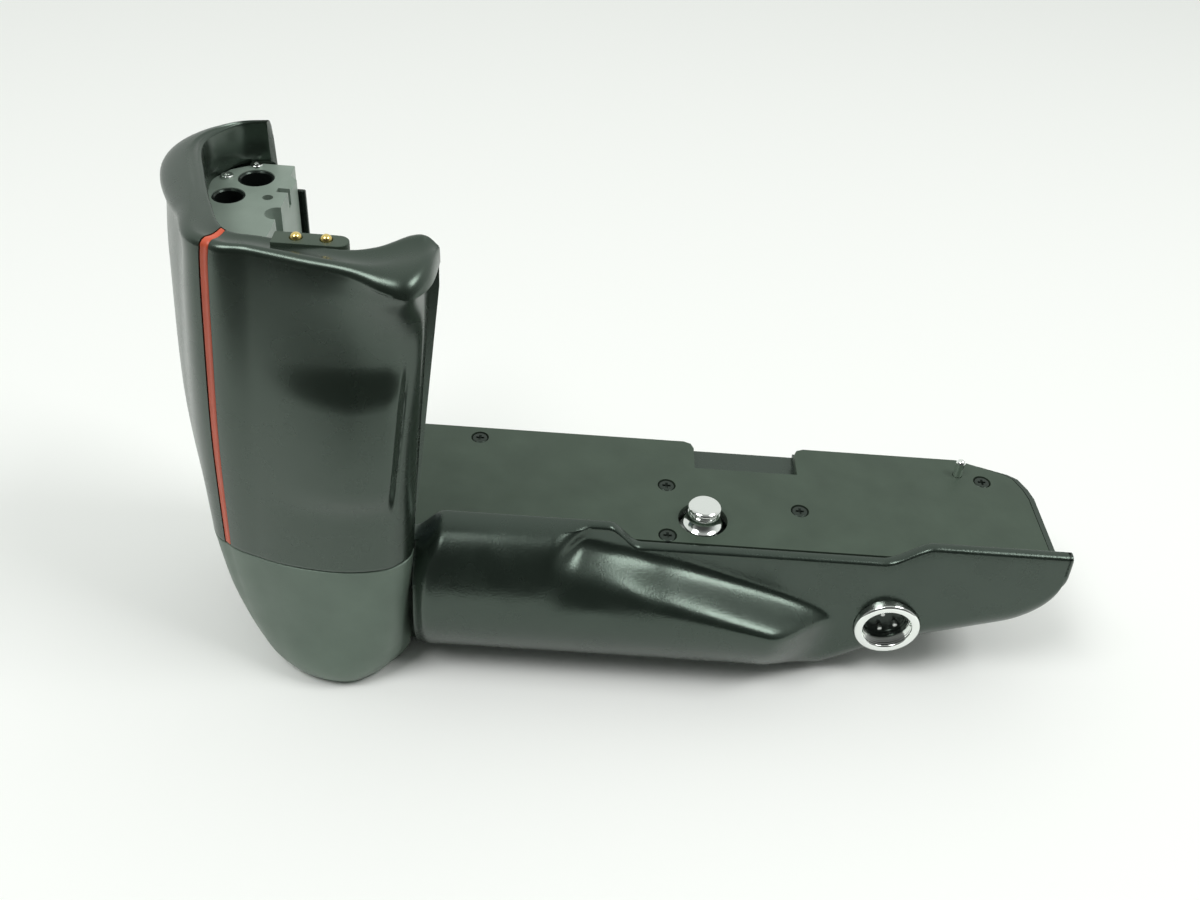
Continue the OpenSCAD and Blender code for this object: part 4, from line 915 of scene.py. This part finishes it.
def attach_screw():
    head = [(0, 3.76), (2.5, 3.76), (2.66, 3.72), (3.1, 3.4), (3.175, 3.28), (3.175, 3.08), (3.1, 3.0),
            (2.66, 2.9)]
    neck = [(2.62, 2.8), (2.62, 2.2), (2.72, 2.11), (3.08, 2.08), (3.12, 2.0), (3.12, 1.72), (3.05, 1.62)]
    skirt = [(2.62, 1.5), (2.56, 1.4), (2.58, 0.95), (2.68, 0.5), (2.9, 0.05), (3.25, -0.32), (3.6, -0.55),
             (3.8, -0.64), (3.85, -0.7), (3.85, -0.8), (3, -0.82)]
    shaft = [(3, -2.7), (2.5, -2.7), (2.5, -3.4), (3, -3.4), (3, KNOB_LOW + 0.4), (0, KNOB_LOW + 0.4)]
    screw = turned("camera_screw", head + neck + skirt + shaft, CENTRE, count=128)
    dress(screw, "attach_screw", body="attach")


def locating_pin():
    profile = [(PIN_R * math.sin(a), 3.05 + PIN_R * math.cos(a)) for a in angles(0, 90, 12)]
    profile += [(PIN_R, -1.6), (1.24, -1.6), (1.24, -5.3), (0, -5.3)]
    dress(turned("pin", profile, PIN, count=64), "locating_pin")


def terminal():
    """Threaded ring, insulator and contact pins of the remote terminal."""
    barrel_r = BARREL_R - FIT
    profile = [(barrel_r, RING_BACK), (barrel_r, RING_SEAT), (6.35, RING_SEAT), (6.35, 11.55), (6.3, 11.72),
               (6.15, 11.9), (5.95, 11.98), (5.75, 12), (5.05, 12), (4.9, 11.96), (4.75, 11.84), (4.7, 11.7)]
    for k in range(3):
        start = 11.6 - 0.5 * k
        profile += [(4.7, start), (4.84, start - 0.16), (4.84, start - 0.3), (4.7, start - 0.46)]
    profile += [(4.7, 10), (4.3, 10), (4.3, RING_BACK)]
    dress(tube("ring", profile, TERMINAL, FORWARD, 128), "terminal_ring")
    disc = [(0, 8.8), (3.3, 8.8), (3.4, 8.65), (3.7, 8.65), (3.8, 8.8), (4.15, 8.8), (4.29, 8.65),
            (4.29, RING_BACK), (0, RING_BACK)]
    dress(turned("insulator", disc, TERMINAL, FORWARD), "terminal_insulator")
    tip = [(0, 8.7), (0.5, 8.7), (0.5, 9.65), (0.4, 9.85), (0, 9.9)]
    pins = []
    for k, angle in enumerate((115, 250, 340)):
        a = math.radians(angle)
        spot = (TERMINAL[0] + 2.15 * math.cos(a), 0, TERMINAL[2] + 2.15 * math.sin(a))
        pins.append(turned(f"contact_{k}", tip, spot, FORWARD, 32))
    dress(join(pins), "terminal_pins")


# Tower fittings

FRAME_PLAN = [
    (-24, 20.9), (-30, 20.9), (-34.6, 18.5), (-37.8, 14), (-38.2, 7.5), (-37, 0.7),
    (-33.7, -6.1), (-29.2, -12.3), (-24, -12.3),
]
FRAME_TOP_PLAN = [
    (-24, 21.5), (-30, 21.5), (-34.4, 18.5), (-37.2, 13.5), (-37, 7.1), (-34.8, 0.9),
    (-31, -6.1), (-26.6, -12.9), (-23, -12.9), (-23, 18), (-24, 18),
]
FRAME_STEP = 43.1
CELL_X = BASE_LEFT - 27.2
CELL_Y = (14.4, -0.4)
# Places from the base's left end, with the bushes' and bores' radii
BUSHES = [(-32.4, 9.3, 2.8), (-29.4, 16.1, 3.1)]
BUSH_L = 6.9
BORES = [(-25.9, 9.6, 0.9), (-23.2, 4.5, 2)]
FRAME_SCREWS = [(-34.3, 15.8), (-30.4, 20.4)]
FRAME_HEAD_H = 0.5
FRAME_RIGHT = BASE_LEFT - 22
CONTACT_Y = -15.8
CONTACT_R = 0.9


def from_left(plan):
    return [(x + BASE_LEFT, y) for x, y in plan]


def battery_frame():
    lower = prism("frame_lower", from_left(FRAME_PLAN), -12, FRAME_STEP)
    cut(lower, [rod("cell_well", (CELL_X, y, 0), UPWARD, 7.45, -10.6, FRAME_STEP - 1.4, 96) for y in CELL_Y])
    upper = prism("frame_upper", from_left(FRAME_TOP_PLAN), FRAME_STEP - FIT, FRAME_Z)
    tools = []
    for x, y, r in BUSHES:
        tools.append(rod("bush_bore", (BASE_LEFT + x, y, 0), UPWARD, r, FRAME_Z - BUSH_L, ABOVE_ALL, 96))
    for x, y, r in BORES:
        tools.append(rod("bore", (BASE_LEFT + x, y, 0), UPWARD, r, FRAME_Z - 5, ABOVE_ALL))
    tools.append(block("slot", (BASE_LEFT - 25, 11.7, FRAME_Z - 3), (BASE_LEFT - 21, 13.1, ABOVE_ALL)))
    corner = [(FRAME_RIGHT - 2.4, FRAME_Z + 0.2), (FRAME_RIGHT, FRAME_Z + 0.2), (FRAME_RIGHT, FRAME_Z - 1.6)]
    tools.append(loft("bevel", [[(x, y, z) for x, z in corner] for y in (13.3, 22.5)]))
    cut(upper, tools)
    for part in (lower, upper):
        settle(soften(part, 0.18))
    dress(join([upper, lower]), "battery_frame")


def tower_fittings():
    bushes = []
    for x, y, r in BUSHES:
        profile = [(r - FIT, -BUSH_L), (r - FIT, -0.25), (r - 0.16, -0.1), (r - 0.3, -0.1), (r - 0.5, -0.35),
                   (r - 0.5, -BUSH_L)]
        bushes.append(tube("bush", profile, (BASE_LEFT + x, y, FRAME_Z)))
    dress(join(bushes), "guide_bushes", look="trim_black")
    screws = []
    for k, (x, y) in enumerate(FRAME_SCREWS):
        spot = (BASE_LEFT + x, y, FRAME_Z + FRAME_HEAD_H)
        screws.append(cross_screw(f"frame_screw_{k}", spot, UPWARD, 1.1, FRAME_HEAD_H, 0.59, 3))
    dress(join(screws), "frame_screws", slot="chrome")
    stop = block("stop", (FRAME_RIGHT - 2, 19.1, FRAME_STEP + 1), (FRAME_RIGHT, 20, FRAME_Z - 3.5))
    dress(soften(stop, 0.3), "stop_plate")


def contact_strip():
    """Strip with one rounded end that holds the two spring contacts."""
    left = BLOCK_X - BLOCK_HALF + FIT
    right = BLOCK_X + BLOCK_HALF - FIT
    middle = 0.5 * (BLOCK_FRONT + BLOCK_REAR)
    radius = 0.5 * (BLOCK_REAR - BLOCK_FRONT) - FIT
    outline = [(left, BLOCK_FRONT + FIT)]
    for a in angles(-90, 90, 16):
        outline.append((right - radius + radius * math.cos(a), middle + radius * math.sin(a)))
    outline.append((left, BLOCK_REAR - FIT))
    strip = prism("strip", outline, BLOCK_LOW + FIT, BLOCK_TOP)
    spots = [(BLOCK_X + side * 2.25, CONTACT_Y, BLOCK_TOP) for side in (-1, 1)]
    cut(strip, [rod("contact_bore", spot, UPWARD, CONTACT_R + 0.05, -4, 3, 48) for spot in spots])
    dress(soften(strip, 0.15), "contact_block", look="plate_black")
    profile = [(CONTACT_R * math.sin(a), CONTACT_R * math.cos(a) - 0.1) for a in angles(0, 90, 10)]
    profile += [(CONTACT_R, -3), (0, -3)]
    for spot, side in zip(spots, ("left", "right")):
        pin = turned(f"spring_{side}", profile, spot, count=48)
        dress(pin, f"contact_pin_{side}", body=f"contact_{side}")


# Underside and vertical release

def underside():
    """Threaded tripod bush."""
    outer_r = TRIPOD_R - FIT
    thread = [(0, TRIPOD_TOP), (outer_r, TRIPOD_TOP), (outer_r, -28.75), (5.05, -28.9), (3.6, -28.9),
              (3.5, -28.85)]
    for k in range(6):
        start = -28.7 + 0.85 * k
        thread += [(3.175, start), (3.175, start + 0.25), (3.4, start + 0.45), (3.4, start + 0.6)]
    thread += [(3.175, -23.4), (0, -23.4)]
    dress(turned("tripod_thread", thread, TRIPOD), "tripod_bush")


def release():
    """Bezel, dished button and locking collar of the release on the foot's slanted end."""
    bezel = [(5.14, -7.3), (5.14, 0.8), (5.0, 1), (4.45, 1), (4.25, 0.8), (4.25, -7.3)]
    dress(tube("bezel", bezel, RELEASE_PLACE, RELEASE_AXIS), "release_bezel")
    dish = [(0, 1.1), (1.5, 1.14), (2.6, 1.25), (3.3, 1.4), (3.6, 1.4), (3.95, 1.25), (4.15, 0.95),
            (4.2, 0.7), (4.2, -3.6), (0, -3.6)]
    dress(turned("button_cap", dish, RELEASE_PLACE, RELEASE_AXIS), "release_button", body="button")
    ring = [(5.2, -1.35), (7.9, -1.35), (7.9, 0.3), (7.6, 0.6), (5.5, 0.6), (5.2, 0.35)]
    collar = tube("collar_ring", ring, RELEASE_PLACE, RELEASE_AXIS)
    # The lug stands on the collar's upper side
    outward = Vector(UPWARD).rotation_difference(Vector(RELEASE_AXIS)) @ Vector(UPWARD)
    lug_place = Vector(RELEASE_PLACE) + 6.55 * Vector((outward.z, 0, -outward.x))
    knob = [(0, 1.3), (0.7, 1.3), (0.94, 1.1), (0.94, 0.4), (0, 0.4)]
    lug = turned("lug", knob, lug_place, RELEASE_AXIS, 48)
    dress(join([collar, lug]), "release_collar", body="collar")


def end_plug():
    face = [(0, 3.2), (0.7, 3.15), (1.15, 3.0), (1.45, 2.7), (PLUG_R, 2.4), (PLUG_R, 0), (0, 0)]
    dress(turned("plug_cap", face, PLUG, RIGHTWARD, 64), "end_plug")


base_body()
grip_shell()
red_stripe()
grip_foot()
top_plate()
screw_set("plate_screw", "plate_screws", [(x, y, -0.1) for x, y in PLATE_SCREWS], UPWARD, 3.3)
bottom_heads = [(x, y, 0.1 - BASE_DEPTH) for x, y in BOTTOM_SCREWS]
screw_set("bottom_screw", "bottom_screws", bottom_heads, DOWNWARD, 3.0)
attach_screw()
locating_pin()
terminal()
battery_frame()
tower_fittings()
contact_strip()
underside()
release()
end_plug()

for name in ("bottom_plate", "battery_door", "door_latch", "attach_knob"):
    soften(frame["nodes"][name], 0.15)


# Studio

# The table ends a little in front of the picture, so high front faces mirror the dark room
TABLE_SIZE = 1.1
TABLE_FRONT = -0.118
TABLE_Z = -BASE_DEPTH * MM - 0.00002
bpy.ops.mesh.primitive_plane_add(size=TABLE_SIZE, location=(-0.03, TABLE_SIZE / 2 + TABLE_FRONT, TABLE_Z))
floor = bpy.context.object
floor.name = "floor"
paper = bpy.data.materials.new("paper")
paper.use_nodes = True
paper_shader = paper.node_tree.nodes["Principled BSDF"]
paper_shader.inputs["Base Color"].default_value = (0.93, 0.945, 0.92, 1)
paper_shader.inputs["Roughness"].default_value = 0.9
floor.data.materials.append(paper)


LAMP_SIZE = 0.34


def lamp(name, place, target, power):
    """Square soft lamp that faces a target."""
    light = bpy.data.lights.new(name, "AREA")
    light.shape = "RECTANGLE"
    light.size = LAMP_SIZE
    light.size_y = LAMP_SIZE
    light.energy = power
    obj = bpy.data.objects.new(name, light)
    bpy.context.collection.objects.link(obj)
    obj.location = place
    obj.rotation_euler = (Vector(target) - Vector(place)).to_track_quat("-Z", "Y").to_euler()


lamp("left", (-0.38, -0.30, 0.78), (-0.03, 0, 0), 3.3)
lamp("right", (0.52, -0.12, 0.78), CENTRE, 3.15)

world = bpy.data.worlds.new("studio")
bpy.context.scene.world = world
world.use_nodes = True
sky = world.node_tree.nodes
sky_links = world.node_tree.links
room = sky["Background"]
room.inputs["Color"].default_value = (0.97, 1.0, 0.97, 1)
# The room is dark in front, where the viewer stands, and pale behind
way = sky.new("ShaderNodeTexCoord").outputs["Generated"]
split = sky.new("ShaderNodeSeparateXYZ")
depth = sky.new("ShaderNodeMapRange")
depth.interpolation_type = "SMOOTHSTEP"
depth.inputs["From Min"].default_value = -0.9
depth.inputs["From Max"].default_value = 0.5
depth.inputs["To Min"].default_value = 0.06
depth.inputs["To Max"].default_value = 0.8
sky_links.new(way, split.inputs["Vector"])
sky_links.new(split.outputs["Y"], depth.inputs["Value"])
sky_links.new(depth.outputs["Result"], room.inputs["Strength"])
# The camera itself sees white past the table
seen = sky.new("ShaderNodeBackground")
seen.inputs["Color"].default_value = (1, 1, 1, 1)
seen.inputs["Strength"].default_value = 1.0
rays = sky.new("ShaderNodeLightPath")
choose = sky.new("ShaderNodeMixShader")
sky_links.new(rays.outputs["Is Camera Ray"], choose.inputs["Fac"])
sky_links.new(room.outputs["Background"], choose.inputs[1])
sky_links.new(seen.outputs["Background"], choose.inputs[2])
sky_links.new(choose.outputs["Shader"], sky["World Output"].inputs["Surface"])

# Camera at the photograph's viewing angle
CAMERA_PLACE = (-0.02548, -0.17264, 0.15795)
TILT = math.radians(39.5)
PAN = math.radians(-1.5)
ROLL = math.radians(4.9)
camera_data = bpy.data.cameras.new("camera")
camera_data.sensor_width = 36
camera_data.lens = 36.36
camera = bpy.data.objects.new("camera", camera_data)
bpy.context.collection.objects.link(camera)
bpy.context.scene.camera = camera
right = Vector((math.cos(PAN), math.sin(PAN), 0))
ahead = Vector((-math.sin(PAN) * math.cos(TILT), math.cos(PAN) * math.cos(TILT), -math.sin(TILT)))
up = right.cross(ahead)
rolled_right = math.cos(ROLL) * right + math.sin(ROLL) * up
rolled_up = -math.sin(ROLL) * right + math.cos(ROLL) * up
turn = Matrix((rolled_right, rolled_up, -ahead)).transposed()
camera.matrix_world = Matrix.Translation(CAMERA_PLACE) @ turn.to_4x4()

bpy.context.scene.view_settings.view_transform = "Standard"
